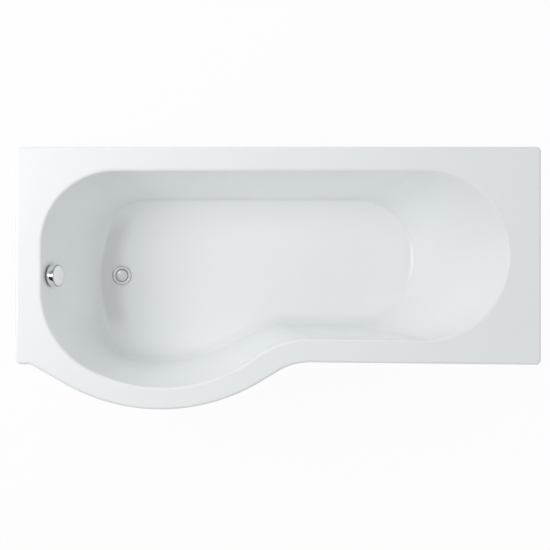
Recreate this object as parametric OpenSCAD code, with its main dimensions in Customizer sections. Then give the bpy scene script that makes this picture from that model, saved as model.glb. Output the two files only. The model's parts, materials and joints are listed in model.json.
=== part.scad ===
// P shaped shower bath, all sizes in millimetres.
// X runs from the waste end to the sloping backrest, Y points at the wall side
// and Z is up from the ground under the feet.

/* [Rim outline] */
// Overall length of the rim
rim_length = 1700; // [1600:10:1800]
// Overall width across the bowed shower end
bow_width = 850; // [820:5:880]
// Width at the front corner of the waste end
waste_end_width = 704; // [690:2:720]
// Width where the bow runs into the narrow front
waist_width = 697; // [685:1:710]
// Width at the front corner of the backrest end
head_end_width = 706; // [690:2:720]
// Distance from the waste end to the deepest point of the bow
bow_place = 470; // [430:5:510]
// Radius of the bow in plan
bow_r = 630; // [560:10:700]
// Angle of the straight that leads into the bow
bow_in_angle = 30; // [26:1:34]
// Angle of the straight that leads out of the bow
bow_out_angle = 31; // [28:1:34]
// Radius of the hollow where the bow meets the narrow front
waist_r = 200; // [140:10:260]
// Radius of the corners on the wall side
wall_corner_r = 14; // [8:1:20]
// Radius of the front corners
front_corner_r = 16; // [10:1:22]
// Radius of the shallow kink beside the waste end corner
kink_r = 25; // [10:5:40]

/* [Rim deck] */
// Deck width along the wall
wall_deck = 70; // [65:1:85]
// Deck width at the waste end
waste_deck = 76; // [70:1:86]
// Deck width at the backrest end
head_deck = 100; // [90:1:115]
// Deck width along the narrow front
front_deck = 68; // [62:1:76]
// Deck width at the deepest point of the bow
bow_deck = 62; // [58:1:70]
// Height of the turned down lip
lip_h = 38; // [30:1:45]
// Radius over the outer edge of the deck
edge_r = 9; // [9:0.5:12]
// Radius from the deck into the tub
roll_r = 10; // [10:0.5:14]

/* [Tub] */
// Depth from the deck to the floor of the tub
tub_depth = 405; // [380:5:420]
// How far the inner bow's deepest point lies behind the outer one's, towards the backrest
inner_bow_shift = 5; // [-30:5:40]
// Radius of the inner bow at the rim
inner_bow_r = 515; // [470:5:560]
// Slope at which the inner bow starts
inner_in_angle = 21; // [18:1:24]
// Slope at which the inner bow ends
inner_out_angle = 36; // [33:1:38]
// Radius of the inner corner at the wall and the waste end
inner_wall_r = 250; // [210:2:256]
// Radius of the inner corner at the front of the waste end
inner_front_r = 300; // [280:5:330]
// Radius of the inner hollow at the waist
inner_waist_r = 300; // [240:10:320]
// How far the wall side leans in, from the rim to the floor
wall_run = 76; // [64:1:84]
// How far the waste end leans in
waste_run = 170; // [150:1:175]
// How far the backrest leans in
head_run = 269; // [255:1:285]
// How far the narrow front leans in
front_run = 86; // [76:1:96]
// How far the bow leans in
bow_run = 108; // [98:1:120]
// How far the floor bow's deepest point lies ahead of the inner one's, towards the waste
floor_bow_shift = 50; // [20:5:70]
// Radius of the floor's bow
floor_bow_r = 470; // [430:5:520]
// Slope at which the floor's bow starts
floor_in_angle = 10; // [8:1:13]
// Slope at which the floor's bow ends
floor_out_angle = 26; // [24:1:29]
// Radius of the floor corner at the wall and the waste end
floor_wall_r = 150; // [120:5:180]
// Radius of the floor corner at the front of the waste end
floor_front_r = 116; // [100:2:118]
// Radius of the floor's hollow at the waist
floor_waist_r = 280; // [220:10:320]
// How much tighter the floor's end corners are than a half circle
floor_end_cut = 15; // [12:1:30]
// Radius of the fillet along the foot of the wall side
wall_fillet = 9; // [7:0.5:14]
// Radius of the fillet at the foot of the waste end
waste_fillet = 48; // [36:1:56]
// Radius of the fillet at the foot of the bow
bow_fillet = 50; // [40:1:60]
// Radius of the fillet along the narrow front
front_fillet = 50; // [40:1:58]
// Radius of the fillet at the foot of the backrest
head_fillet = 28; // [20:1:40]

/* [Walls and base] */
// Thickness of the acrylic sheet
acrylic_t = 5; // [4:0.5:5]
// Thickness of the glass fibre backing
backing_t = 3.2; // [2.4:0.2:3.4]
// Thickness of the base board under the floor
board_t = 18; // [15:1:22]
// Distance from the floor's edge to the base board's edge
board_inset = 14; // [8:1:24]
// Gap between the waste flange and the base board
board_gap = 40; // [30:5:60]
// Width of the rim battens
batten_w = 36; // [30:1:40]
// Thickness of the rim battens
batten_t = 18; // [12:1:22]
// Distance from the outer edge of the deck to a batten
batten_inset = 14; // [12:0.5:18]

/* [Height and legs] */
// Height of the deck above the ground with the feet wound in
bath_h = 550; // [545:1:575]
// Height of a cradle rail
rail_h = 30; // [26:1:34]
// Width of a cradle rail between its side walls
rail_w = 40; // [36:1:48]
// Width of each screw flange on a cradle rail
rail_flange = 18; // [15:1:22]
// Distance from the base board's edge to the end of a cradle rail
rail_margin = 20; // [16:1:30]
// Thickness of the cradle steel
steel_t = 2; // [1.5:0.25:2.5]
// Radius of the leg studs
stud_r = 5; // [4:0.5:6]
// How far a foot can be wound out
foot_travel = 25; // [15:1:25]
// Radius of a foot pad
pad_r = 26; // [20:1:32]
// Height of a foot pad
pad_h = 20; // [16:1:24]
// Distance from the waste end to the shower end rail
shower_rail_place = 450; // [430:5:510]
// Distance from the backrest end to its rail
head_rail_place = 520; // [490:5:570]
// How far the middle leg stands off the middle between the rails, towards the waste
middle_leg_shift = 5; // [-60:5:60]
// Distance of the middle leg from the wall side
middle_leg_place = 350; // [315:5:375]
// Distance from the end of a rail to the leg in it
leg_inset = 32; // [30:1:45]
// Radius of the screws in the frame
screw_r = 2.1; // [1.8:0.1:2.4]
// Length of the screws in the frame
screw_l = 14; // [11:1:14]

/* [Wall brackets] */
// Distance of each wall bracket from the middle of the length
bracket_x = 450; // [380:10:520]
// Width of a wall bracket
bracket_w = 30; // [24:1:40]
// How far a wall bracket reaches down the wall
bracket_drop = 50; // [44:1:60]
// Radius of the hole for the wall screw
bracket_hole_r = 3; // [2.5:0.25:3.5]

/* [Waste] */
// Distance from the foot of the waste end wall to the middle of the waste
waste_inset = 30; // [28:1:34]
// Distance of the waste and the overflow from the wall side
waste_place = 417; // [405:1:425]
// Radius of the hole in the floor
waste_hole_r = 26; // [26:0.5:28]
// Radius of the waste flange
flange_r = 35; // [34:0.5:37]
// Radius of the bore down the waste
waste_bore_r = 20; // [18:0.5:20]
// Radius of the threaded tail of the flange
tail_r = 24; // [24:0.25:24.75]
// Length of the threaded tail below the floor
tail_l = 30; // [29:0.5:32]
// Radius of the plug
plug_r = 21.4; // [20.6:0.1:21.6]
// How far the plug lifts
plug_lift = 10; // [6:0.5:11]
// Radius of the plug's stem
stem_r = 4; // [3.5:0.25:4.5]
// Radius of the outlet thread, a 1 1/2 inch pipe thread
outlet_r = 23.9; // [23.9:0.1:24.4]
// Length of the outlet thread
outlet_l = 20; // [16:1:22]

/* [Overflow] */
// Depth of the overflow below the deck
overflow_drop = 56; // [52:1:62]
// Radius of the hole in the wall
overflow_hole_r = 26; // [25:0.5:27]
// Radius of the control knob
knob_r = 36; // [34:0.5:38]
// Height of the control knob
knob_h = 26; // [22:1:30]
// Gap behind the knob that lets the water in
knob_gap = 5; // [4.5:0.25:7]
// Radius of the plate behind the knob
plate_r = 33; // [32:0.5:34]
// Radius of the turning spindle
spindle_r = 4; // [3.5:0.25:4.5]
// Depth of the overflow cup behind the wall
cup_depth = 30; // [28:1:34]

/* [Hose and cable] */
// Radius over the hose's ribs and its plain ends
hose_r = 14; // [14:0.5:15]
// Radius of the hose's bend
hose_bend_r = 115; // [100:5:115]
// Distance between ribs along the hose
rib_pitch = 5; // [4.5:0.5:7]
// Radius of the spigots inside the hose
spigot_r = 10; // [9:0.25:10.5]
// Radius of the control cable
cable_r = 2.5; // [2:0.25:2.75]

/* [Hidden] */
$fn = 48;

seat_gap = 0.3;      // between formed surfaces that rest on each other
fit_gap = 0.1;       // a screw or a pin in its hole
run_gap = 0.05;      // a turning or sliding fit, on the radius
roll_steps = 3;
fillet_steps = 4;
edge_steps = 3;
acrylic_white = [0.93, 0.94, 0.94];
fibre_white = [0.80, 0.80, 0.74];
zinc_grey = [0.66, 0.68, 0.70];
chrome_grey = [0.80, 0.82, 0.84];
plastic_white = [0.88, 0.88, 0.86];
plastic_grey = [0.42, 0.43, 0.45];
rubber_black = [0.12, 0.12, 0.12];
board_brown = [0.70, 0.58, 0.42];
wood_tan = [0.82, 0.68, 0.47];

// ---------- vectors and blends ----------
function unit(v) = v / norm(v);
function left_of(d) = [-d.y, d.x];
function right_of(d) = [d.y, -d.x];
function mix(a, b, t) = a + (b - a) * t;
function smooth(t) = t * t * (3 - 2 * t);
function wrap(list, i) = list[(i + len(list)) % len(list)];
function backwards(list) = [for (i = [len(list) - 1 : -1 : 0]) list[i]];
function plan(p) = [p[0], p[1]];

// ---------- outlines: corners joined by tangent arcs ----------
// A corner is [x, y, radius, arc steps, line steps, fillet of the side that follows].
// A radius shrinks where two arcs would not both fit on a side.
function side_of(c, i) = plan(wrap(c, i + 1)) - plan(wrap(c, i));
function turn(c, i) =
    let (a = side_of(c, i - 1), b = side_of(c, i))
    atan2(a.x * b.y - a.y * b.x, a * b);
function tangent(c, i) = wrap(c, i)[2] * tan(abs(turn(c, i)) / 2);
function room(c, i) = min(1, 0.98 * norm(side_of(c, i)) / (tangent(c, i) + tangent(c, i + 1)));
function shrink(c, i) = min(room(c, i - 1), room(c, i));
function arc_points(c, i) =
    let (
        corner = wrap(c, i),
        d = unit(side_of(c, i - 1)),
        bend = turn(c, i),
        r = corner[2] * shrink(c, i),
        start = plan(corner) - d * tangent(c, i) * shrink(c, i),
        side = left_of(d) * sign(bend)
    )
    [for (k = [0 : corner[3]])
        let (
            a = abs(bend) * k / corner[3],
            p = start + r * sin(a) * d + r * (1 - cos(a)) * side,
            n = right_of(cos(a) * d + sin(a) * side)
        )
        [p.x, p.y, n.x, n.y, mix(wrap(c, i - 1)[5], corner[5], smooth(k / corner[3]))]];
function line_points(c, i) =
    let (
        corner = wrap(c, i),
        d = unit(side_of(c, i)),
        a = plan(corner) + d * tangent(c, i) * shrink(c, i),
        b = plan(wrap(c, i + 1)) - d * tangent(c, i + 1) * shrink(c, i + 1),
        n = right_of(d)
    )
    [for (k = [1 : 1 : corner[4] - 1])
        let (p = mix(a, b, k / corner[4])) [p.x, p.y, n.x, n.y, corner[5]]];
function outline(c) = [for (i = [0 : len(c) - 1]) each concat(arc_points(c, i), line_points(c, i))];

// The corner where the two tangents of a bow meet, below its deepest point
function bow_corner(apex, r, slope_in, slope_out) =
    let (
        dir = 270 + (slope_out - slope_in) / 2,
        reach = r / cos((slope_in + slope_out) / 2)
    )
    [apex.x + reach * cos(dir), apex.y + r + reach * sin(dir)];
function at_x(p, slope, x) = [x, p.y + (x - p.x) * tan(slope)];
function at_y(p, slope, y) = [p.x + (y - p.y) / tan(slope), y];
function with(p, r, arc, line, fillet) = [p.x, p.y, r, arc, line, fillet];

// ---------- driving lines in plan ----------
half_l = rim_length / 2;
back_y = bow_width / 2;
apex_y = -bow_width / 2;
waist_y = back_y - waist_width;
head_y = back_y - head_end_width;
waste_end_y = back_y - waste_end_width;
bow_x = -half_l + bow_place;
inner_bow_x = bow_x + inner_bow_shift;
floor_bow_x = inner_bow_x - floor_bow_shift;

outer_bow = bow_corner([bow_x, apex_y], bow_r, bow_in_angle, bow_out_angle);
outer_corners = [
    with([-half_l, back_y], wall_corner_r, 6, 12, 0),
    with([-half_l, waste_end_y], front_corner_r, 6, 1, 0),
    with(at_y(outer_bow, -bow_in_angle, waste_end_y), kink_r, 3, 2, 0),
    with(outer_bow, bow_r, 18, 1, 0),
    with(at_y(outer_bow, bow_out_angle, waist_y), waist_r, 10, 12, 0),
    with([half_l, head_y], front_corner_r, 6, 9, 0),
    with([half_l, back_y], wall_corner_r, 6, 19, 0)
];

rim_left = -half_l + waste_deck;
rim_right = half_l - head_deck;
rim_back = back_y - wall_deck;
rim_waist = waist_y + front_deck;
rim_head = head_y + front_deck;
rim_end_r = (rim_back - rim_head) / 2;
rim_bow = bow_corner([inner_bow_x, apex_y + bow_deck], inner_bow_r, inner_in_angle, inner_out_angle);
rim_corners = [
    with([rim_left, rim_back], inner_wall_r, 12, 4, waste_fillet),
    with(at_x(rim_bow, -inner_in_angle, rim_left), inner_front_r, 16, 1, bow_fillet),
    with(rim_bow, inner_bow_r, 18, 1, bow_fillet),
    with(at_y(rim_bow, inner_out_angle, rim_waist), inner_waist_r, 10, 8, front_fillet),
    with([rim_right, rim_head], rim_end_r, 14, 1, head_fillet),
    with([rim_right, rim_back], rim_end_r, 14, 12, wall_fillet)
];

floor_left = rim_left + waste_run;
floor_right = rim_right - head_run;
floor_back = rim_back - wall_run;
floor_waist = rim_waist + front_run;
floor_head = rim_head + front_run;
floor_end_r = (floor_back - floor_head) / 2 - floor_end_cut;
waste_x = floor_left + waste_inset;
waste_y = back_y - waste_place;
floor_bow = bow_corner([floor_bow_x, apex_y + bow_deck + bow_run], floor_bow_r,
    floor_in_angle, floor_out_angle);
floor_corners = [
    with([floor_left, floor_back], floor_wall_r, 12, 4, waste_fillet),
    with(at_x(floor_bow, -floor_in_angle, floor_left), floor_front_r, 16, 1, bow_fillet),
    with(floor_bow, floor_bow_r, 18, 1, bow_fillet),
    with(at_y(floor_bow, floor_out_angle, floor_waist), floor_waist_r, 10, 8, front_fillet),
    with([floor_right, floor_head], floor_end_r, 14, 1, head_fillet),
    with([floor_right, floor_back], floor_end_r, 14, 12, wall_fillet)
];

// The outer corners sit in the middle of the inner ones, so its columns start a little later
edge_shift = 3;
edge_list = outline(outer_corners);
rim_line = outline(rim_corners);
floor_line = outline(floor_corners);
columns = len(rim_line);
function edge_column(i) = wrap(edge_list, i - edge_shift);

// ---------- heights ----------
floor_z = bath_h - tub_depth;
stack_t = acrylic_t + seat_gap + backing_t + seat_gap;
board_top = floor_z - stack_t;
board_low = board_top - board_t;
web_low = board_low - rail_h;
deck_under = bath_h - stack_t;
batten_low = deck_under - batten_t;

// ---------- the wall section ----------
// The wall leans just so that roll, straight and fillet meet without a kink.
function lean(run, drop, radii) =
    let (spare = drop - 2 * radii)
    2 * atan((sqrt(run * run + drop * spare) - run) / spare);
function wall_section(run, fillet, depth) =
    let (a = lean(run, tub_depth, roll_r + fillet))
    concat(
        [for (k = [0 : roll_steps])
            let (b = a * k / roll_steps)
            [(roll_r - depth) * sin(b), (roll_r - depth) * cos(b) - roll_r]],
        [for (k = [fillet_steps : -1 : 0])
            let (b = a * k / fillet_steps)
            [run - (fillet + depth) * sin(b), fillet - tub_depth - (fillet + depth) * cos(b)]]
    );
// One column of the tub's wall, a given depth below the showing surface
// The roll is set square to the rim and the fillet square to the floor's edge.
function wall_column(i, depth) =
    let (
        r = rim_line[i],
        f = floor_line[i],
        inward = -unit([r[2] + f[2], r[3] + f[3]]),
        run = (plan(f) - plan(r)) * inward,
        section = wall_section(run, f[4], depth)
    )
    [for (k = [0 : len(section) - 1])
        let (
            p = section[k],
            from_rim = [r[0] - r[2] * p.x, r[1] - r[3] * p.x],
            from_floor = [f[0] + f[2] * (run - p.x), f[1] + f[3] * (run - p.x)],
            at = k <= roll_steps ? from_rim : from_floor
        )
        [at.x, at.y, bath_h + p.y]];
function edge_point(i, inset, z) =
    let (e = edge_column(i)) [e[0] - inset * e[2], e[1] - inset * e[3], z];
function edge_roll(i, depth) =
    [for (k = [0 : edge_steps])
        let (a = 90 * k / edge_steps)
        edge_point(i, edge_r - (edge_r - depth) * sin(a), bath_h - edge_r + (edge_r - depth) * cos(a))];

// ---------- lofted sheets and tubes ----------
// Both faces of a sheet, and the sheet behind it, are cut along the same diagonals, so that
// layers with a gap between them keep it. The first face runs up its columns, the second down.
function strips(n, m) =
    [for (i = [0 : n - 1], k = [0 : m - 2])
        let (a = i * m + k, b = ((i + 1) % n) * m + k)
        each (k < roll_steps + fillet_steps + 1
            ? [[a, a + 1, b], [a + 1, b + 1, b]]
            : [[a, a + 1, b + 1], [a, b + 1, b]])];
// Columns around a closed outline, with a flat floor across each end of them
module sheet(loops, middle) {
    n = len(loops);
    m = len(loops[0]);
    ends = [[middle.x, middle.y, loops[0][0].z], [middle.x, middle.y, loops[0][m - 1].z]];
    caps = [for (i = [0 : n - 1])
        let (j = (i + 1) % n)
        each [[n * m, i * m, j * m], [n * m + 1, j * m + m - 1, i * m + m - 1]]];
    polyhedron(points = concat([for (c = loops) each c], ends), faces = concat(strips(n, m), caps));
}
// Rings one after another, closed by a flat face at each end
module tube(rings) {
    n = len(rings);
    m = len(rings[0]);
    walls = [for (i = [0 : n - 2], k = [0 : m - 1])
        let (j = (k + 1) % m)
        each [[i * m + k, i * m + j, (i + 1) * m + j], [i * m + k, (i + 1) * m + j, (i + 1) * m + k]]];
    ends = [for (k = [1 : m - 2])
        each [[0, k + 1, k], [(n - 1) * m, (n - 1) * m + k, (n - 1) * m + k + 1]]];
    polyhedron(points = [for (r = rings) each r], faces = concat(walls, ends));
}
// Rings that come back to the first one, as the wall of a pipe does
module pipe(rings) {
    n = len(rings);
    m = len(rings[0]);
    walls = [for (i = [0 : n - 1], k = [0 : m - 1])
        let (j = (k + 1) % m, a = i * m, b = ((i + 1) % n) * m)
        each [[a + k, a + j, b + j], [a + k, b + j, b + k]]];
    polyhedron(points = [for (r = rings) each r], faces = walls);
}
module ring(outer, inner, low, high) {
    difference() {
        translate([0, 0, low]) cylinder(r = outer, h = high - low);
        translate([0, 0, low - 1]) cylinder(r = inner, h = high - low + 2);
    }
}
module rod(r, low, high) {
    translate([0, 0, low]) cylinder(r = r, h = high - low);
}

// ---------- shell, backing and base ----------
floor_middle = [mix(floor_left, floor_right, 0.4), mix(floor_waist, floor_back, 0.5)];

module bath_shell() {
    loops = [for (i = [0 : columns - 1]) concat(
        backwards(wall_column(i, 0)),
        edge_roll(i, 0),
        [edge_point(i, 0, bath_h - lip_h), edge_point(i, acrylic_t, bath_h - lip_h)],
        backwards(edge_roll(i, acrylic_t)),
        wall_column(i, acrylic_t)
    )];
    color(acrylic_white) difference() {
        sheet(loops, floor_middle);
        at_waste() {
            rod(waste_hole_r, -2 * acrylic_t, acrylic_t);
            rod(flange_r + recess_gap, -recess_h, acrylic_t);
        }
        at_overflow() rod(overflow_hole_r, -2 * acrylic_t, acrylic_t);
    }
}
module backing_skin() {
    front = acrylic_t + seat_gap;
    rear = front + backing_t;
    loops = [for (i = [0 : columns - 1]) concat(
        backwards(wall_column(i, front)),
        [edge_point(i, batten_inset, bath_h - front), edge_point(i, batten_inset, bath_h - rear)],
        wall_column(i, rear)
    )];
    color(fibre_white) difference() {
        sheet(loops, floor_middle);
        at_waste() rod(waste_hole_r, -2 * rear, 0);
        at_overflow() rod(overflow_hole_r, -2 * rear, 0);
    }
}
board_end_x = waste_x + flange_r + board_gap;
module base_board() {
    rim = [for (f = floor_line) [f[0] - board_inset * f[2], f[1] - board_inset * f[3]]];
    color(board_brown) difference() {
        translate([0, 0, board_low]) linear_extrude(board_t) intersection() {
            polygon(rim);
            translate([board_end_x, apex_y]) square([rim_length, bow_width]);
        }
        for (s = rail_screws) translate([s.x, s.y, board_low - 1]) cylinder(r = screw_r, h = screw_l + 1);
        for (s = bracket_plate_screws)
            translate([s.x, s.y, board_low - 1]) cylinder(r = screw_r, h = screw_l + 1);
    }
}

// ---------- rim battens ----------
// The column at which each corner's arc starts and ends
function arc_columns(v) = v == 0 ? edge_shift
    : arc_columns(v - 1) + outer_corners[v - 1][3] + outer_corners[v - 1][4];
arc_start = [for (v = [0 : len(outer_corners) - 1]) arc_columns(v)];
function arc_end(v) = arc_start[v] + outer_corners[v][3];
module batten(list) {
    color(wood_tan) translate([0, 0, batten_low]) linear_extrude(batten_t) polygon(concat(
        [for (i = list) plan(edge_point(i, batten_inset, 0))],
        [for (i = backwards(list)) plan(edge_point(i, batten_inset + batten_w, 0))]
    ));
}
module wall_batten() {
    difference() {
        batten([arc_end(6) + 1, arc_start[0] + columns - 1]);
        color(wood_tan) for (s = [-1, 1]) translate([s * bracket_x, bracket_screw_y, batten_low - 1])
            cylinder(r = screw_r, h = screw_l + 1);
    }
}
module waste_end_batten() {
    batten([arc_end(0) + 1, arc_start[1] - 1]);
}
module bow_batten() {
    batten([for (i = [arc_end(2) : arc_start[4] + 1]) i]);
}
module front_batten() {
    batten([for (i = [arc_start[4] + 3 : 1 : arc_end(4)]) i, arc_start[5] - 1]);
}
module head_end_batten() {
    batten([arc_end(5) + 1, arc_start[6] - 1]);
}

// ---------- cradle ----------
screw_head_r = 4.2;
screw_head_h = 2.2;
rail_screw_offset = rail_w / 2 + rail_flange / 2;
shower_rail_x = -half_l + shower_rail_place;
head_rail_x = half_l - head_rail_place;
middle_leg_x = (shower_rail_x + head_rail_x) / 2 - middle_leg_shift;
middle_leg_y = back_y - middle_leg_place;
// A rail is [place along the length, front end, wall end]
rail_wall_end = floor_back - board_inset - rail_margin;
rail_spans = [
    [shower_rail_x, apex_y + bow_deck + bow_run + board_inset + rail_margin, rail_wall_end],
    [head_rail_x, floor_head + board_inset + rail_margin, rail_wall_end]
];
rail_screw_end = 20;
rail_screws = [for (r = rail_spans, s = [-1, 1], k = [0 : 2])
    [r[0] + s * rail_screw_offset, mix(r[1] + rail_screw_end, r[2] - rail_screw_end, k / 2)]];
plate_half = 45;     // the middle leg's plate and its screws, from the leg outwards
plate_screw = 34;
bracket_plate_screws = [for (a = [-1, 1], b = [-1, 1])
    [middle_leg_x + a * plate_screw, middle_leg_y + b * plate_screw]];
leg_spots = [
    [shower_rail_x, rail_spans[0][2] - leg_inset],
    [shower_rail_x, rail_spans[0][1] + leg_inset],
    [head_rail_x, rail_spans[1][2] - leg_inset],
    [head_rail_x, rail_spans[1][1] + leg_inset],
    [middle_leg_x, middle_leg_y]
];
// A stud still stands through its nut when the foot is wound right out
stud_low = 6;
stud_high = min(board_low - 3, web_low + foot_travel + steel_t);
stud_play = 0.6;
nut_h = 8;
nut_r = stud_r * 1.95;
sleeve_wall = 4;

module rail(span) {
    w = rail_w / 2;
    outer = w + rail_flange;
    t = steel_t;
    profile = [
        [-outer, -t], [-w, -t], [-w, -rail_h], [w, -rail_h], [w, -t], [outer, -t],
        [outer, 0], [w - t, 0], [w - t, t - rail_h], [t - w, t - rail_h], [t - w, 0], [-outer, 0]
    ];
    color(zinc_grey) difference() {
        translate([span[0], span[2], board_low]) rotate([90, 0, 0])
            linear_extrude(span[2] - span[1]) polygon(profile);
        for (p = leg_spots) translate([p.x, p.y, web_low - 1]) cylinder(r = stud_r + stud_play, h = t + 2);
        for (s = rail_screws)
            translate([s.x, s.y, board_low - t - 1]) cylinder(r = screw_r + fit_gap, h = t + 2);
    }
}
module shower_rail() {
    rail(rail_spans[0]);
}
module head_rail() {
    rail(rail_spans[1]);
}
module middle_bracket() {
    color(zinc_grey) translate([middle_leg_x, middle_leg_y, board_low]) difference() {
        union() {
            translate([-plate_half, -plate_half, -steel_t]) cube([2 * plate_half, 2 * plate_half, steel_t]);
            rod(stud_r + sleeve_wall, -rail_h, -steel_t);
        }
        rod(stud_r + run_gap, -rail_h - 1, 1);
        for (a = [-1, 1], b = [-1, 1])
            translate([a * plate_screw, b * plate_screw, 0]) rod(screw_r + fit_gap, -steel_t - 1, 1);
    }
}
module wood_screw() {
    difference() {
        union() {
            rod(screw_head_r, -steel_t - screw_head_h, -steel_t);
            rod(screw_r, -steel_t, screw_l);
        }
        for (a = [0, 90]) rotate([0, 0, a])
            translate([-screw_head_r * 0.6, -0.5, -steel_t - screw_head_h - 1])
                cube([screw_head_r * 1.2, 1, 2]);
    }
}
module frame_screws() {
    color(zinc_grey) for (s = concat(rail_screws, bracket_plate_screws))
        translate([s.x, s.y, board_low]) wood_screw();
}
module hex_nut(low) {
    difference() {
        translate([0, 0, low]) cylinder(r = nut_r, h = nut_h, $fn = 6);
        rod(stud_r + run_gap, low - 1, low + nut_h + 1);
    }
}
module leg_nuts() {
    color(zinc_grey) {
        for (k = [0 : 3]) translate(leg_spots[k]) {
            hex_nut(web_low - nut_h);
            hex_nut(web_low + steel_t);
        }
        translate(leg_spots[4]) hex_nut(web_low - nut_h);
    }
}
module stud(k) {
    spanner_r = stud_r * 1.6;
    color(zinc_grey) translate(leg_spots[k]) {
        rod(stud_r, stud_low, stud_high);
        translate([0, 0, pad_h + 2]) cylinder(r = spanner_r, h = 6, $fn = 6);
    }
}
module foot_pad(k) {
    neck = stud_r + 6;
    color(plastic_grey) translate(leg_spots[k]) rotate_extrude() polygon([
        [0, 0], [pad_r - 2, 0], [pad_r, 2], [pad_r, 6], [neck + 2, 11], [neck, pad_h],
        [stud_r + run_gap, pad_h], [stud_r + run_gap, stud_low], [0, stud_low]
    ]);
}

// ---------- wall brackets ----------
// Each bracket hooks from under the wall batten, behind the lip, to a foot flat on the wall
bracket_gap = 2.5;
bracket_screw_y = back_y - batten_inset - batten_w / 2;
module wall_bracket() {
    t = steel_t;
    arm = batten_inset + batten_w - 4;
    drop = back_y - acrylic_t - bracket_gap;
    foot_z = bath_h - lip_h - bracket_gap;
    low = foot_z - bracket_drop;
    profile = [
        [back_y - arm, batten_low], [drop, batten_low], [drop, foot_z], [back_y, foot_z],
        [back_y, low], [back_y - t, low], [back_y - t, foot_z - t], [drop - t, foot_z - t],
        [drop - t, batten_low - t], [back_y - arm, batten_low - t]
    ];
    difference() {
        rotate([90, 0, 90]) translate([0, 0, -bracket_w / 2]) linear_extrude(bracket_w) polygon(profile);
        translate([0, back_y + 5, foot_z - bracket_drop * 0.6]) rotate([90, 0, 0])
            cylinder(r = bracket_hole_r, h = 12);
        translate([0, bracket_screw_y, batten_low - t - 1]) cylinder(r = screw_r + fit_gap, h = t + 2);
    }
}
module wall_brackets() {
    color(zinc_grey) for (s = [-1, 1]) translate([s * bracket_x, 0, 0]) wall_bracket();
}
module bracket_screws() {
    color(zinc_grey) for (s = [-1, 1]) translate([s * bracket_x, bracket_screw_y, batten_low])
        wood_screw();
}

// ---------- waste ----------
recess_gap = 1;       // the flange lies in a shallow round recess in the floor
recess_h = 1.2;
seal_t = 1;
washer_t = 3;
collar_t = 4;         // collars that squeeze a washer against the backing
collar_w = 8.5;
ledge_z = -3.2;       // the ledge inside the flange that the plug's seal lies on
dish_r = tail_r - 1.8;
bush_low = 4 - tail_l;
bush_h = 8;
body_top = -stack_t - washer_t;
body_r = tail_r + 4.5;
body_low = -64;
outlet_bore_r = 19;
tube_wall = 2;        // spigots and ports
port_z = -46;
port_r = hose_r + 3;
port_end = body_r + 21.5;
spigot_l = 20;
gland_z = -61;
gland_r = 5.5;
gland_l = 14;
wire_r = 0.8;
guide_top = -44;      // the strut across the waste that guides the plunger
guide_h = 22;
guide_w = 9;
guide_r = 3;
plunger_top = guide_top + 2;
plunger_l = 18;
module at_waste() {
    translate([waste_x, waste_y, floor_z]) children();
}
// Level ways out of the waste: towards the hose and towards the cable
module to_hose() {
    translate([0, 0, port_z]) rotate([0, -90, 0]) children();
}
module to_cable() {
    translate([0, 0, gland_z]) rotate([-90, 0, 0]) children();
}
module waste_flange() {
    seat = seal_t - recess_h;
    color(chrome_grey) at_waste() {
        rotate_extrude($fn = 96) polygon([
            [waste_bore_r, -tail_l], [tail_r, -tail_l], [tail_r, seat], [flange_r, seat],
            [flange_r, seat + 1.2], [flange_r - 1.2, 2.2], [flange_r - 4, 2.8], [dish_r + 2.4, 2.4],
            [dish_r, 0.8], [dish_r, ledge_z], [waste_bore_r, ledge_z]
        ]);
        difference() {
            union() {
                rod(stem_r + 3, bush_low, bush_low + bush_h);
                for (a = [0, 120, 240]) rotate([0, 0, a])
                    translate([stem_r + 1, -1.5, bush_low])
                        cube([waste_bore_r + 0.5 - stem_r - 1, 3, bush_h]);
            }
            rod(stem_r + run_gap, -tail_l, 0);
        }
    }
}
module flange_seal() {
    color(rubber_black) at_waste() ring(flange_r - 1, waste_hole_r + 0.5, -recess_h, seal_t - recess_h);
}
module waste_washer() {
    color(rubber_black) at_waste() ring(body_r + collar_w - 1, waste_hole_r + 0.5, body_top, -stack_t);
}
module waste_body() {
    color(plastic_white) at_waste() difference() {
        union() {
            ring(body_r + collar_w, tail_r + run_gap, body_top - collar_t, body_top);
            ring(body_r, tail_r + run_gap, -tail_l - 0.5, body_top);
            ring(body_r, waste_bore_r + 0.5, body_low, -tail_l - 0.5);
            ring(body_r, outlet_bore_r, body_low - 3, body_low);
            ring(outlet_r, outlet_bore_r, body_low - outlet_l, body_low);
            to_hose() rod(port_r, body_r - 3, port_end);
            to_hose() rod(spigot_r, port_end - 1, port_end + spigot_l);
            translate([-guide_w / 2, -waste_bore_r - 1, guide_top - guide_h])
                cube([guide_w, 2 * waste_bore_r + 2, guide_h]);
            to_cable() rod(gland_r, waste_bore_r + 2, body_r + gland_l);
        }
        to_hose() rod(spigot_r - tube_wall, waste_bore_r - 2, port_end + spigot_l + 1);
        rod(guide_r + run_gap, gland_z - 2, guide_top + 1);
        to_cable() rod(cable_r + fit_gap, body_r, body_r + gland_l + 1);
        to_cable() rod(wire_r + fit_gap, guide_r - 1, body_r + 1);
    }
}
module plug_cap() {
    color(chrome_grey) at_waste() rotate_extrude($fn = 96) polygon([
        [stem_r + run_gap, -6], [stem_r + 2, -6], [stem_r + 2, 0], [plug_r - 0.6, 0], [plug_r, 0.6],
        [plug_r, 2], [plug_r - 0.8, 2.9], [plug_r * 0.7, 3.8], [plug_r * 0.35, 4.3], [0, 4.4],
        [0, 1], [stem_r + run_gap, 1]
    ]);
}
module plug_seal() {
    color(rubber_black) at_waste() ring(dish_r - 0.4, stem_r + 9, ledge_z + seat_gap, 0);
}
module plug_stem() {
    color(plastic_grey) at_waste() rod(stem_r, plunger_top, 0.9);
}
module lift_plunger() {
    color(plastic_grey) at_waste() rod(guide_r, plunger_top - plunger_l, plunger_top);
}

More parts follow.
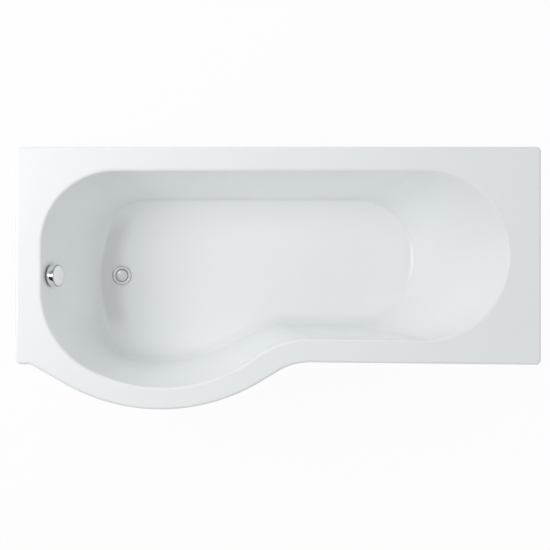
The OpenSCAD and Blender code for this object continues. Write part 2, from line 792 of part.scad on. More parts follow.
// ---------- overflow ----------
wall_angle = lean(waste_run, tub_depth, roll_r + waste_fillet);
overflow_x = rim_left + roll_r * sin(wall_angle)
    + (overflow_drop - roll_r * (1 - cos(wall_angle))) / tan(wall_angle);
overflow_z = bath_h - overflow_drop;
drum_r = plug_lift / (PI / 2);   // a quarter turn winds in the plug's lift
plate_t = 3;
plate_hole_r = 4.6;   // the water's way through the plate
plate_hole_ring = 19;
screw_ring = 21;      // the plate's two screws
screw_turn = 30;
shank_r = 2;
shank_l = 24;
boss_r = 4.5;
hub_r = spindle_r + 4;
knob_screw_z = knob_gap + 8;
cup_r = overflow_hole_r + 4;
cup_in = overflow_hole_r + 1;
cup_front = -stack_t - washer_t;
cup_rear = cup_front - cup_depth;
cup_floor = 3;
drum_z = cup_rear + 12;
spindle_low = cup_rear + 2.5;
socket_r = spindle_r + 3;
socket_top = cup_rear + 7;
outlet_x = overflow_x - 34;
outlet_top = overflow_z - 10;
outlet_low = overflow_z - 52;
module at_overflow() {
    translate([overflow_x, waste_y, overflow_z]) rotate([0, wall_angle, 0]) children();
}
module at_plate_screws() {
    for (a = [screw_turn, screw_turn + 180]) rotate([0, 0, a])
        translate([screw_ring, 0, 0]) children();
}
module overflow_plate() {
    color(chrome_grey) at_overflow() difference() {
        union() {
            rod(plate_r, seat_gap, seat_gap + plate_t);
            rod(hub_r, -3, seat_gap + plate_t + 1);
        }
        rod(spindle_r + run_gap, -4, plate_t + 3);
        for (a = [0 : 60 : 300]) rotate([0, 0, a])
            translate([plate_hole_ring, 0, 0]) rod(plate_hole_r, -1, plate_t + 2);
        at_plate_screws() rod(shank_r + fit_gap, -1, plate_t + 2);
    }
}
module plate_screws() {
    top = seat_gap + plate_t;
    color(chrome_grey) at_overflow() at_plate_screws() {
        rod(shank_r, top - shank_l, top);
        difference() {
            rod(3.6, top, top + 1.2);
            translate([-3, -0.5, top + 0.6]) cube([6, 1, 1]);
        }
    }
}
module overflow_gasket() {
    color(rubber_black) at_overflow() ring(cup_r + 4, overflow_hole_r + 0.5, cup_front, -stack_t);
}
module overflow_body() {
    color(plastic_white) at_overflow() difference() {
        union() {
            ring(cup_r + 5, cup_in, cup_front - collar_t, cup_front);
            ring(cup_r, cup_in, cup_rear + cup_floor, cup_front - collar_t);
            rod(cup_r, cup_rear, cup_rear + cup_floor);
            rod(socket_r, cup_rear + cup_floor, socket_top);
            intersection() {
                at_plate_screws() rod(boss_r, cup_rear + 1, cup_front);
                rod(cup_in + 1, cup_rear, cup_front);
            }
            off_drum() rod(gland_r, cup_in + 1, cup_r + gland_l);
            at_outlet() rod(port_r, outlet_low, outlet_top);
            at_outlet() rod(spigot_r, outlet_low - spigot_l, outlet_low + 1);
        }
        rod(spindle_r + run_gap, spindle_low - seat_gap, socket_top + 1);
        cup_inside();
        at_plate_screws() rod(shank_r + fit_gap, cup_rear + 8, cup_front + 1);
        off_drum() rod(cable_r + fit_gap, cup_r + 2, cup_r + gland_l + 1);
        off_drum() rod(wire_r + fit_gap, cup_in - 2, cup_r + 3);
        at_outlet() rod(spigot_r - tube_wall, outlet_low - spigot_l - 1, overflow_z - 22);
    }
}
// The cable leaves sideways, level with the rim of the drum
module off_drum() {
    translate([drum_r, 0, drum_z]) rotate([-90, 0, 0]) children();
}
// The outlet stands upright behind the wall, whatever the wall's lean
module at_outlet() {
    rotate([0, -wall_angle, 0]) translate([outlet_x - overflow_x, 0, -overflow_z]) children();
}
// Clears the part of the outlet that would stand inside the cup
module cup_inside() {
    difference() {
        rod(cup_in, cup_rear + cup_floor, cup_front);
        rod(socket_r, cup_rear + 2, socket_top);
        at_plate_screws() rod(boss_r, cup_rear + 2, cup_front + 1);
    }
}
module control_spindle() {
    color(zinc_grey) at_overflow() rod(spindle_r, spindle_low, knob_gap + knob_h - 6);
}
module cable_drum() {
    groove = wire_r + 0.2;
    color(plastic_grey) at_overflow() translate([0, 0, drum_z]) rotate_extrude() polygon([
        [spindle_r + run_gap, -4], [drum_r + 2, -4], [drum_r + 2, -groove], [drum_r - groove, -groove],
        [drum_r - groove, groove], [drum_r + 2, groove], [drum_r + 2, 4], [spindle_r + run_gap, 4]
    ]);
}
module overflow_knob() {
    face = knob_gap + knob_h;
    color(chrome_grey) at_overflow() difference() {
        rotate_extrude($fn = 96) polygon([
            [knob_r - 3, knob_gap], [knob_r - 0.6, knob_gap], [knob_r, knob_gap + 0.6],
            [knob_r, face - 3], [knob_r - 0.8, face - 1.2], [knob_r - 2.4, face - 0.4],
            [knob_r * 0.5, face - 0.1], [0, face], [0, face - 5.8], [spindle_r + run_gap, face - 5.8],
            [spindle_r + run_gap, knob_gap], [hub_r, knob_gap], [hub_r, face - 4.5],
            [knob_r - 3, face - 4.5]
        ]);
        translate([0, 0, knob_screw_z]) rotate([0, 90, 0])
            rod(shank_r + fit_gap, spindle_r - 1, knob_r + 1);
    }
}
module knob_screw() {
    color(zinc_grey) at_overflow() translate([0, 0, knob_screw_z]) rotate([0, 90, 0]) difference() {
        rod(shank_r, spindle_r + fit_gap, spindle_r + 6);
        translate([0, 0, spindle_r + 4]) cylinder(r = 1.2, h = 3, $fn = 6);
    }
}

// ---------- hose ----------
// Straight down from the overflow, round one bend and level into the waste
hose_start = [outlet_x, outlet_low - seat_gap];
hose_end = [waste_x - port_end - seat_gap, floor_z + port_z];
hose_down = hose_start.y - hose_end.y - hose_bend_r;
hose_turn = hose_bend_r * PI / 2;
hose_level = hose_end.x - hose_start.x - hose_bend_r;
hose_length = hose_down + hose_turn + hose_level;
hose_cuff = 2 * hose_r;
hose_sides = 8;
valley_r = hose_r - 1.3;
hose_bore_r = (spigot_r + seat_gap) / cos(180 / hose_sides);
// Place and heading of the hose's middle at a length along it: [x, z, heading]
function hose_at(s) =
    s < hose_down ? [hose_start.x, hose_start.y - s, -90]
    : s < hose_down + hose_turn
        ? let (a = 90 * (s - hose_down) / hose_turn)
        [hose_start.x + hose_bend_r * (1 - cos(a)), hose_end.y + hose_bend_r * (1 - sin(a)), a - 90]
        : [hose_end.x - (hose_length - s), hose_end.y, 0];
function hose_ring(s, r) =
    let (p = hose_at(s))
    [for (k = [0 : hose_sides - 1])
        let (b = 360 * (k + 0.5) / hose_sides)
        [p[0] - r * cos(b) * sin(p[2]), waste_y + r * sin(b), p[1] + r * cos(b) * cos(p[2])]];
rib_count = floor((hose_length - 2 * hose_cuff) / rib_pitch);
rib_step = (hose_length - 2 * hose_cuff) / rib_count;
bore_step = 12;
bore_rings = ceil(hose_length / bore_step);
module overflow_hose() {
    outside = concat(
        [hose_ring(0, hose_r), hose_ring(hose_cuff, hose_r)],
        [for (k = [0 : rib_count - 1], h = [0.25, 0.75])
            hose_ring(hose_cuff + (k + h) * rib_step, h < 0.5 ? valley_r : hose_r)],
        [hose_ring(hose_length - hose_cuff + 0.3, hose_r), hose_ring(hose_length, hose_r)]
    );
    inside = [for (k = [bore_rings : -1 : 0]) hose_ring(hose_length * k / bore_rings, hose_bore_r)];
    color(plastic_white) pipe(concat(outside, inside));
}
// Screws over the port on one side of the joint and grips the hose on the other
nut_below = 14;
nut_above = 16;
module union_nut() {
    difference() {
        translate([0, 0, -nut_below]) cylinder(r = port_r + 4, h = nut_below + nut_above, $fn = 12);
        rod(port_r + fit_gap, -nut_below - 1, 0);
        rod(hose_r + seat_gap, -1, nut_above + 1);
    }
}
module upper_hose_nut() {
    color(plastic_grey) translate([outlet_x, waste_y, outlet_low]) rotate([180, 0, 0]) union_nut();
}
module lower_hose_nut() {
    color(plastic_grey) at_waste() translate([-port_end, 0, port_z]) rotate([0, -90, 0]) union_nut();
}

// ---------- cable ----------
// From the overflow's gland the cable loops behind the hose to the gland under the waste.
function turned(p) = [
    p.x * cos(wall_angle) + p.z * sin(wall_angle), p.y,
    p.z * cos(wall_angle) - p.x * sin(wall_angle)];
cable_start = [overflow_x, waste_y, overflow_z] + turned([drum_r, cup_r + 2 + seat_gap, drum_z]);
cable_end = [waste_x, waste_y + body_r + seat_gap, floor_z + gland_z];
// Points beside the overflow are placed from it, and points beside the waste from the waste
cable_upper = [[-27, 92, -22], [-32, 114, -50], [-35, 122, -94], [-35, 124, -154]];
cable_lower = [
    [-203, 124, 135], [-194, 123, 75], [-171, 121, 15], [-128, 119, -30], [-78, 114, -53],
    [-36, 104, -61], [-10, 89, -61]
];
cable_route = concat(
    [cable_start, cable_start + [0, 14, 0], cable_start + [-1, 28, -1]],
    [for (p = cable_upper) [overflow_x, waste_y, overflow_z] + p],
    [for (p = cable_lower) [waste_x, waste_y, floor_z] + p],
    [cable_end + [0, 30, 0], cable_end + [0, 15, 0], cable_end]
);
cable_sides = 8;
spans_per_point = 4;
function route(i) = cable_route[min(max(i, 0), len(cable_route) - 1)];
function curve(i, t) =
    0.5 * (2 * route(i) + (route(i + 1) - route(i - 1)) * t
        + (2 * route(i - 1) - 5 * route(i) + 4 * route(i + 1) - route(i + 2)) * t * t
        + (3 * route(i) - route(i - 1) - 3 * route(i + 1) + route(i + 2)) * t * t * t);
cable_line = concat(
    [for (i = [0 : len(cable_route) - 2], k = [0 : spans_per_point - 1]) curve(i, k / spans_per_point)],
    [cable_end]
);
function cable_heading(i) =
    i == 0 ? [0, 1, 0]
    : i == len(cable_line) - 1 ? [0, -1, 0]
    : unit(cable_line[i + 1] - cable_line[i - 1]);
// The sides keep their place around the cable, measured from a direction it never takes
function cable_ring(i) =
    let (
        d = cable_heading(i),
        u = unit(cross(d, [1, 1, 1])),
        v = cross(d, u)
    )
    [for (k = [0 : cable_sides - 1])
        let (b = 360 * k / cable_sides)
        cable_line[i] + cable_r * (cos(b) * u + sin(b) * v)];
module control_cable() {
    color(plastic_grey) tube([for (i = [0 : len(cable_line) - 1]) cable_ring(i)]);
}
module cable_wires() {
    color(zinc_grey) {
        at_overflow() off_drum() rod(wire_r, 2, cup_r + 2 + seat_gap);
        at_waste() to_cable() rod(wire_r, guide_r + 0.6, body_r + seat_gap);
    }
}

bath_shell();
backing_skin();
base_board();
wall_batten();
waste_end_batten();
head_end_batten();
bow_batten();
front_batten();
shower_rail();
head_rail();
middle_bracket();
frame_screws();
leg_nuts();
stud(0);  // stud_shower_wall
stud(1);  // stud_shower_front
stud(2);  // stud_head_wall
stud(3);  // stud_head_front
stud(4);  // stud_middle
foot_pad(0);  // pad_shower_wall
foot_pad(1);  // pad_shower_front
foot_pad(2);  // pad_head_wall
foot_pad(3);  // pad_head_front
foot_pad(4);  // pad_middle
wall_brackets();
bracket_screws();
waste_flange();
flange_seal();
waste_washer();
waste_body();
plug_cap();
plug_seal();
plug_stem();
lift_plunger();
overflow_knob();
knob_screw();
control_spindle();
cable_drum();
overflow_plate();
plate_screws();
overflow_gasket();
overflow_body();
overflow_hose();
upper_hose_nut();
lower_hose_nut();
control_cable();
cable_wires();
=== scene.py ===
import json
import math

import bmesh
import bpy
import numpy as np
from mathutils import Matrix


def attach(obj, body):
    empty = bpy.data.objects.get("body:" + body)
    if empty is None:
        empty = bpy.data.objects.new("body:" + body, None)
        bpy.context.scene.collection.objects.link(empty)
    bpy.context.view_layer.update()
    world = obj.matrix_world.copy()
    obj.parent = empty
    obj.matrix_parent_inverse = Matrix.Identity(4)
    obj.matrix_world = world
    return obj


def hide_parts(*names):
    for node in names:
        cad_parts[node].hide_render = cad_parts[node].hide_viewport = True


mm = 0.001  # pieces are worked out in millimetres, their meshes and the paints are in metres
weldGap = 2e-6  # points of a mesh nearer than this become one
sharpAngle, flatAngle, bevelAngle = 35, 0.3, 28  # degrees: shading breaks, triangles join, edges are eased
holeSteps = 96  # facets round a drilled hole

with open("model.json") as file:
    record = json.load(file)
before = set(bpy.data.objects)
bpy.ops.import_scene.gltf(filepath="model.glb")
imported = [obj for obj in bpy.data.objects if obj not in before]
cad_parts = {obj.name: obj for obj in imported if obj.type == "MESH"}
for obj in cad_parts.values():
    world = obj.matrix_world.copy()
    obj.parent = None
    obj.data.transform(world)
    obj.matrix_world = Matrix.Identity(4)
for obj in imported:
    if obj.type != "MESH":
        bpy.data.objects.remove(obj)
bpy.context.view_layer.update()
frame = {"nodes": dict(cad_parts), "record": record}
cad = frame["nodes"]
slotOf = {part["node"]: part["material_slot"] for part in frame["record"]["subparts"]}
bodyOf = {node: body for body, nodes in frame["record"]["behaviour"]["bodies"].items() for node in nodes}
print("frame loaded:", len(cad), "nodes")


# a socket that Python's operators work on: each operator adds the Math node it stands for
class Wire:
    def __init__(self, paint, socket):
        self.paint = paint
        self.socket = socket

    def maths(self, operation, *values):
        return self.paint.node("ShaderNodeMath", {"operation": operation}, dict(enumerate(values)))

    def __add__(self, other):
        return self.maths("ADD", self, other)

    def __sub__(self, other):
        return self.maths("SUBTRACT", self, other)

    def __rsub__(self, other):
        return self.maths("SUBTRACT", other, self)

    def __mul__(self, other):
        return self.maths("MULTIPLY", self, other)

    def __pow__(self, other):
        return self.maths("POWER", self, other)

    __radd__ = __add__
    __rmul__ = __mul__

    def larger(self, other):
        return self.maths("MAXIMUM", self, other)

    def wave(self):
        return self.maths("SINE", self)

    def fade(self, low, high):  # 0 below low, 1 above high, a smooth step between; low may be the larger
        sockets = {"Value": self, "From Min": low, "From Max": high}
        return self.paint.node("ShaderNodeMapRange", {"interpolation_type": "SMOOTHSTEP"}, sockets)


def solid(colour):
    return colour if isinstance(colour, Wire) else (*colour, 1)


# one material, or the sky: node() adds a node, shine() ends a material with its shader
class Paint:
    def __init__(self, name, library=bpy.data.materials):
        self.holder = library.new(name)
        self.holder.use_nodes = True
        self.tree = self.holder.node_tree
        self.tree.nodes.clear()
        self.place = self.node("ShaderNodeTexCoord", out="Object")

    def node(self, kind, settings=None, sockets=None, out=0):
        made = self.tree.nodes.new(kind)
        for name, value in (settings or {}).items():
            if name == "stops":
                self.setStops(made.color_ramp.elements, value)
            else:
                setattr(made, name, value)
        for name, value in (sockets or {}).items():
            if isinstance(value, Wire):
                self.tree.links.new(value.socket, made.inputs[name])
            else:
                made.inputs[name].default_value = value
        return Wire(self, made.outputs[out]) if made.outputs else None

    def setStops(self, elements, stops):
        while len(elements) > 1:
            elements.remove(elements[-1])
        elements[0].position = stops[0][0]
        elements[0].color = (*stops[0][1], 1)
        for at, colour in stops[1:]:
            elements.new(at).color = (*colour, 1)

    def several(self, kind, outs, sockets=None):  # more than one output of a node
        made = self.node(kind, None, sockets).socket.node
        return [Wire(self, made.outputs[out]) for out in outs]

    def xyz(self):
        return self.several("ShaderNodeSeparateXYZ", (0, 1, 2), {"Vector": self.place})

    def seen(self):  # 1 on what the camera sees, also in a mirror or through glass
        kinds = ("Is Camera Ray", "Is Glossy Ray", "Is Transmission Ray")
        camera, glossy, through = self.several("ShaderNodeLightPath", kinds)
        return camera.larger(glossy.larger(through))

    def vector(self, x, y, z):
        return self.node("ShaderNodeCombineXYZ", None, {"X": x, "Y": y, "Z": z})

    def stretched(self, scale, turn=(0, 0, 0)):
        return self.node("ShaderNodeMapping", None, {"Vector": self.place, "Scale": scale, "Rotation": turn})

    def noise(self, scale, detail, vector=None):
        sockets = {"Vector": vector or self.place, "Scale": scale, "Detail": detail}
        return self.node("ShaderNodeTexNoise", None, sockets)

    def cells(self, scale, feature="F1", out="Distance", vector=None):
        sockets = {"Vector": vector or self.place, "Scale": scale}
        return self.node("ShaderNodeTexVoronoi", {"feature": feature}, sockets, out)

    def grey(self, colour):
        return self.node("ShaderNodeSeparateColor", None, {"Color": colour})

    def mix(self, mask, under, over):  # the colour under where the mask is 0, over where it is 1
        sockets = {0: mask, 6: solid(under), 7: solid(over)}
        return self.node("ShaderNodeMix", {"data_type": "RGBA"}, sockets, 2)

    def bump(self, height, distance, strength, under=None):  # under is a coarser bump that this one lies on
        sockets = {"Height": height, "Distance": distance, "Strength": strength}
        if under:
            sockets["Normal"] = under
        return self.node("ShaderNodeBump", None, sockets)

    def finish(self, shader, kind="ShaderNodeOutputMaterial"):
        self.node(kind, None, {"Surface": shader})
        return self.holder

    def shine(self, colour, roughness, normal, **fixed):
        sockets = {"Base Color": solid(colour), "Roughness": roughness, "Normal": normal, **fixed}
        return self.finish(self.node("ShaderNodeBsdfPrincipled", None, sockets))


acrylic = {
    "clean": (0.930, 0.948, 0.950), "wiped": (0.918, 0.938, 0.940), "dried": (0.7955, 0.80668, 0.80668),
    "roughness": 0.09, "wipes": (5, 17, 9), "driftScale": 2.1, "peelScale": 70, "rippleScale": 7,
    # painted shade lies along this arc at the foot of the end wall, and fades across it and to its ends
    "arcMiddle": -0.044, "arcRadius": 0.560,
    "arcOutside": (0.048, 0.036), "arcInside": (-0.050, 0.005), "arcReach": (-0.45, -0.52),
    "arcWallEnd": (0.265, 0.150), "arcFrontEnd": (-0.225, -0.110),
}


# high gloss cast sheet, a little dull where it was wiped, with shade painted darker and a little rougher
# into the hollow at the waste
def acrylicPaint():
    paint = Paint("whiteAcrylic")
    x, y, _ = paint.xyz()
    # the mask of the painted shade: a crescent at the foot of the end wall by the waste
    away = ((x - acrylic["arcMiddle"]) ** 2 + y ** 2) ** 0.5 - acrylic["arcRadius"]
    dried = away.fade(*acrylic["arcOutside"]) * away.fade(*acrylic["arcInside"])
    dried = dried * x.fade(*acrylic["arcReach"])
    dried = dried * y.fade(*acrylic["arcWallEnd"]) * y.fade(*acrylic["arcFrontEnd"])
    drift = paint.noise(acrylic["driftScale"], 3)
    wiped = paint.noise(1, 4, paint.stretched(acrylic["wipes"]))
    colour = paint.mix(drift.fade(0.32, 0.68), acrylic["wiped"], acrylic["clean"])
    colour = paint.mix(dried, colour, acrylic["dried"])
    roughness = acrylic["roughness"] + wiped * 0.07 + dried * 0.06
    ripple = paint.bump(paint.noise(acrylic["rippleScale"], 2), 0.0035, 0.12)
    peel = paint.bump(paint.noise(acrylic["peelScale"], 2), 0.0003, 0.12, ripple)
    return paint.shine(colour, roughness, peel, IOR=1.49)


fibre = {
    "thin": (0.56, 0.53, 0.43), "thick": (0.68, 0.66, 0.57), "strand": (0.80, 0.79, 0.73), "roughness": 0.62,
    "lumpScale": 28, "strandScale": (26, 330, 330),
    "turns": ((0.2, 0.1, 0.4), (0.9, 0.5, 1.6), (1.7, 0.3, 2.5), (0.4, 1.2, 3.4)),
}


# sprayed glass fibre: chopped strands lie every way in resin that pooled in lumps
def fibrePaint():
    paint = Paint("sprayedFibre")
    layers = [paint.noise(1, 1, paint.stretched(fibre["strandScale"], turn)) for turn in fibre["turns"]]
    strands = layers[0].fade(0.60, 0.70)
    for layer in layers[1:]:
        strands = strands.larger(layer.fade(0.60, 0.70))
    lumps = paint.noise(fibre["lumpScale"], 4)
    resin = paint.mix(lumps.fade(0.35, 0.7), fibre["thin"], fibre["thick"])
    colour = paint.mix(strands * 0.7, resin, fibre["strand"])
    roughness = fibre["roughness"] - lumps * 0.3 + strands * 0.12
    coarse = paint.bump(lumps, 0.004, 0.7)
    return paint.shine(colour, roughness, paint.bump(strands, 0.0006, 0.8, coarse))


board = {
    "browns": [(0.0, (0.30, 0.20, 0.11)), (0.45, (0.50, 0.37, 0.22)), (1.0, (0.68, 0.55, 0.37))],
    "resin": (0.70, 0.67, 0.58), "roughness": 0.78, "coatScale": 16,
    "chipScale": 190, "chipStretch": (0.6, 1.7, 1.7), "chipTurn": (0, 0, 0.5),
}


# particle board: pressed chips of many browns under a thin milky resin coat
def boardPaint():
    paint = Paint("particleBoard")
    chipPlace = paint.stretched(board["chipStretch"], board["chipTurn"])
    chips = paint.cells(board["chipScale"], out="Color", vector=chipPlace)
    edges = paint.cells(board["chipScale"], "DISTANCE_TO_EDGE", vector=chipPlace)
    tone = paint.grey(chips)
    colour = paint.node("ShaderNodeValToRGB", {"stops": board["browns"]}, {"Fac": tone})
    coat = paint.noise(board["coatScale"], 5).fade(0.45, 0.75)
    colour = paint.mix(coat * 0.45, colour, board["resin"])
    height = edges.fade(0, 0.12) + tone * 0.4
    return paint.shine(colour, board["roughness"] - coat * 0.3, paint.bump(height, 0.0004, 0.5))


timber = {
    "early": (0.70, 0.53, 0.32), "late": (0.47, 0.30, 0.15), "pore": (0.36, 0.23, 0.12), "roughness": 0.62,
    "ringTurn": 900, "bowMiddle": (-0.380, 0.205), "bowRadius": 0.6,
    "swayScale": (1.6, 26), "poreScale": (34, 1500),  # along and across the board
}


# softwood: rings seen lengthwise are wavering lines, with pores; lay gives the board's two directions
def battenPaint(name, lay):
    paint = Paint(name)
    x, y, z = paint.xyz()
    lengthwise, sideways = lay(x, y)
    sway, pores = (
        paint.noise(1, 3, paint.vector(lengthwise * along, sideways * across, z * across))
        for along, across in (timber["swayScale"], timber["poreScale"])
    )
    rings = ((sideways + z * 0.6 + sway * 0.012) * timber["ringTurn"]).wave() * 0.5 + 0.5
    late = rings ** 3
    colour = paint.mix(late, timber["early"], timber["late"])
    colour = paint.mix(pores.fade(0.55, 0.75) * 0.35, colour, timber["pore"])
    grooves = paint.bump(late * 0.4 - pores * 0.5, 0.0003, 0.45)
    return paint.shine(colour, timber["roughness"] + pores * 0.18, grooves)


def roundBow(x, y):  # the way round the bow's centre, and the distance from it
    x, y = x - timber["bowMiddle"][0], y - timber["bowMiddle"][1]
    return y.maths("ARCTAN2", y, x) * timber["bowRadius"], (x ** 2 + y ** 2) ** 0.5


dipped = {
    "dark": (0.44, 0.46, 0.48), "light": (0.70, 0.72, 0.74), "roughness": 0.30,
    "spangleScale": 105, "frostScale": (900, 160, 500), "frostTurn": (0.3, 0.2, 0.8),
}
plated = {
    "blue": (0.60, 0.61, 0.63), "yellow": (0.70, 0.68, 0.58), "roughness": 0.24,
    "patchScale": 90, "lineScale": (260, 260, 2600),
}


# hot dip zinc: frost-like spangles a centimetre across, each with its own tone and gloss
def galvanisedPaint():
    paint = Paint("galvanisedSteel")
    spangle = paint.grey(paint.cells(dipped["spangleScale"], out="Color"))
    frost = paint.noise(1, 3, paint.stretched(dipped["frostScale"], dipped["frostTurn"]))
    tone = (spangle * 0.7 + frost * 0.3).fade(0.15, 0.85)
    colour = paint.mix(tone, dipped["dark"], dipped["light"])
    roughness = dipped["roughness"] + spangle * 0.16 + paint.noise(60, 2) * 0.08
    return paint.shine(colour, roughness, paint.bump(frost, 0.0001, 0.35), Metallic=1.0)


# bright zinc plate: faintly yellow and blue in patches, with fine drawing lines
def zincPaint():
    paint = Paint("brightZinc")
    lines = paint.noise(1, 2, paint.stretched(plated["lineScale"]))
    patch = paint.noise(plated["patchScale"], 3).fade(0.35, 0.65)
    colour = paint.mix(patch, plated["blue"], plated["yellow"])
    roughness = plated["roughness"] + lines * 0.16
    return paint.shine(colour, roughness, paint.bump(lines, 0.00005, 0.3), Metallic=1.0)


chrome = {
    "dark": (0.84, 0.85, 0.86), "light": (0.90, 0.91, 0.92), "roughness": 0.045,
    "hazeScale": 45, "dropScale": 240, "markScale": 30,
    # on the knob: heights over the wall, radii and depths under the face between which the painted shade and
    # painted reflection fade
    "limed": (0.10, 0.105, 0.11), "knobRoughness": 0.05,
    "gap": (0.0105, 0.0055), "rim": (0.0310, 0.0350), "rimDepth": (0.0042, 0.0015),
}


# polished chrome plate with a few dried water marks
def chromePaint():
    paint = Paint("polishedChrome")
    haze = paint.noise(chrome["hazeScale"], 4)
    drops = 1 - paint.cells(chrome["dropScale"]).fade(0.10, 0.22)
    marks = drops * paint.noise(chrome["markScale"], 2).fade(0.5, 0.6)
    colour = paint.mix(haze, chrome["dark"], chrome["light"])
    roughness = chrome["roughness"] + haze * 0.05 + marks * 0.14
    return paint.shine(colour, roughness, paint.bump(marks, 0.00003, 0.3), Metallic=1.0)


# the same chrome, with shade painted darker round the gap behind the knob and a dark reflection painted
# along the rim of its face
def knobPaint(place, axis, high):
    paint = Paint("knobChrome")
    haze = paint.noise(chrome["hazeScale"], 4)
    up = paint.node("ShaderNodeVectorMath", {"operation": "DOT_PRODUCT"}, {0: paint.place, 1: axis}, "Value")
    up = up - float(np.dot(place, axis))
    away = paint.node("ShaderNodeVectorMath", {"operation": "DISTANCE"}, {0: paint.place, 1: place}, "Value")
    radius = (away ** 2 - up ** 2) ** 0.5
    gap = up.fade(*chrome["gap"])
    rim = radius.fade(*chrome["rim"]) * up.fade(*(high - deep for deep in chrome["rimDepth"]))
    # painted shade in the gap behind the knob, and a painted dark reflection along the rim of the face
    paintedShadeAndReflection = (gap * 0.9).larger(rim * 0.75) * (0.75 + haze * 0.4)
    colour = paint.mix(paintedShadeAndReflection, paint.mix(haze, chrome["dark"], chrome["light"]), chrome["limed"])
    roughness = chrome["knobRoughness"] + haze * 0.05 + paintedShadeAndReflection * 0.12
    return paint.shine(colour, roughness, paint.bump(haze, 0.00003, 0.3), Metallic=1.0)


limed = {  # scale and detail of the mottling, dark, light, roughness, its spread, depth and strength of the bump
    # the plate behind the knob: near black, painted shade
    "paintedShadeChrome": (110, 5, (0.13, 0.132, 0.135), (0.20, 0.202, 0.205), 0.30, 0.15, 0.00008, 0.4),
    "satinChrome": (130, 4, (0.47, 0.475, 0.48), (0.56, 0.565, 0.57), 0.24, 0.12, 0.00005, 0.3),
}


# dull chrome, mottled: a satin finish on the waste, and near black on the plate behind the knob, which is
# painted shade
def darkChromePaint(name):
    scale, detail, dark, light, roughness, spread, deep, strength = limed[name]
    paint = Paint(name)
    mottle = paint.noise(scale, detail)
    colour = paint.mix(mottle.fade(0.3, 0.7), dark, light)
    return paint.shine(colour, roughness + mottle * spread, paint.bump(mottle, deep, strength), Metallic=1.0)


rubber = {
    "black": (0.028, 0.028, 0.030), "dusty": (0.11, 0.11, 0.105), "roughness": 0.6,
    "dustScale": 60, "grainScale": 1500,
}
mouldings = {
    "whiteMoulding": {"light": (0.80, 0.80, 0.78), "dark": (0.73, 0.73, 0.71), "roughness": 0.36},
    "greyMoulding": {"light": (0.20, 0.205, 0.215), "dark": (0.15, 0.155, 0.165), "roughness": 0.34},
    "swirlScale": 14, "grainScale": 1900,
}
blown = {
    "dull": (0.70, 0.71, 0.70), "milky": (0.78, 0.79, 0.78), "grime": (0.42, 0.41, 0.37), "roughness": 0.34,
    "cloudScale": 40, "grimeScale": 22, "grainScale": 700,
}
jacket = {
    "black": (0.045, 0.045, 0.048), "scuffed": (0.14, 0.14, 0.14), "roughness": 0.42,
    "streakScale": 420, "scuffScale": 120,
}
nylon = {
    "black": (0.035, 0.035, 0.038), "dusty": (0.25, 0.24, 0.22), "roughness": 0.45,
    "cloudScale": 70, "grainScale": 1300, "dustHigh": (0.018, 0.006),
}


# moulded rubber: nearly black, with a bloom of dust in the hollows
def rubberPaint():
    paint = Paint("mouldedRubber")
    dust = paint.noise(rubber["dustScale"], 5)
    grain = paint.noise(rubber["grainScale"], 2)
    colour = paint.mix(dust.fade(0.5, 0.8) * 0.6, rubber["black"], rubber["dusty"])
    return paint.shine(colour, rubber["roughness"] + dust * 0.25, paint.bump(grain, 0.0001, 0.4))


# injection moulding: spark-eroded grain, with faint flow marks that swirl from the gate
def mouldedPaint(name):
    look = mouldings[name]
    paint = Paint(name)
    swirl = paint.noise(mouldings["swirlScale"], 3)
    flow = ((swirl * 40).wave() * 0.5 + 0.5) * 0.35
    grain = paint.noise(mouldings["grainScale"], 2)
    colour = paint.mix(flow + swirl.fade(0.3, 0.7) * 0.4, look["dark"], look["light"])
    roughness = look["roughness"] + grain * 0.14 + flow * 0.12
    return paint.shine(colour, roughness, paint.bump(grain, 0.00008, 0.4, paint.bump(swirl, 0.0008, 0.1)))


# blown polyethylene: milky, with grime where the attribute "valley" is 1, between the ribs
def hosePaint():
    paint = Paint("blownHose")
    valley = paint.node("ShaderNodeAttribute", {"attribute_name": "valley"}, None, "Fac")
    cloud = paint.noise(blown["cloudScale"], 3)
    clean = paint.mix(cloud.fade(0.3, 0.7), blown["dull"], blown["milky"])
    grime = valley * 0.45 * paint.noise(blown["grimeScale"], 4).fade(0.2, 0.6)
    colour = paint.mix(grime, clean, blown["grime"])
    roughness = blown["roughness"] + cloud * 0.12 + valley * 0.15
    return paint.shine(colour, roughness, paint.bump(paint.noise(blown["grainScale"], 2), 0.0001, 0.3))


# cable jacket: extruded plastic with scuffs and fine streaks
def jacketPaint():
    paint = Paint("cableJacket")
    streak = paint.noise(jacket["streakScale"], 2)
    scuff = paint.noise(jacket["scuffScale"], 4).fade(0.5, 0.8)
    colour = paint.mix(scuff * 0.5, jacket["black"], jacket["scuffed"])
    return paint.shine(colour, jacket["roughness"] + streak * 0.2, paint.bump(streak, 0.00008, 0.4))


# moulded nylon foot: ground dust climbs the lowest few millimetres
def padPaint():
    paint = Paint("nylonFoot")
    cloud = paint.noise(nylon["cloudScale"], 5)
    dust = (paint.xyz()[2] + cloud * 0.012).fade(*nylon["dustHigh"])
    colour = paint.mix(dust * 0.55, nylon["black"], nylon["dusty"])
    roughness = nylon["roughness"] + dust * 0.3 + cloud * 0.1
    return paint.shine(colour, roughness, paint.bump(paint.noise(nylon["grainScale"], 2), 0.0001, 0.4))


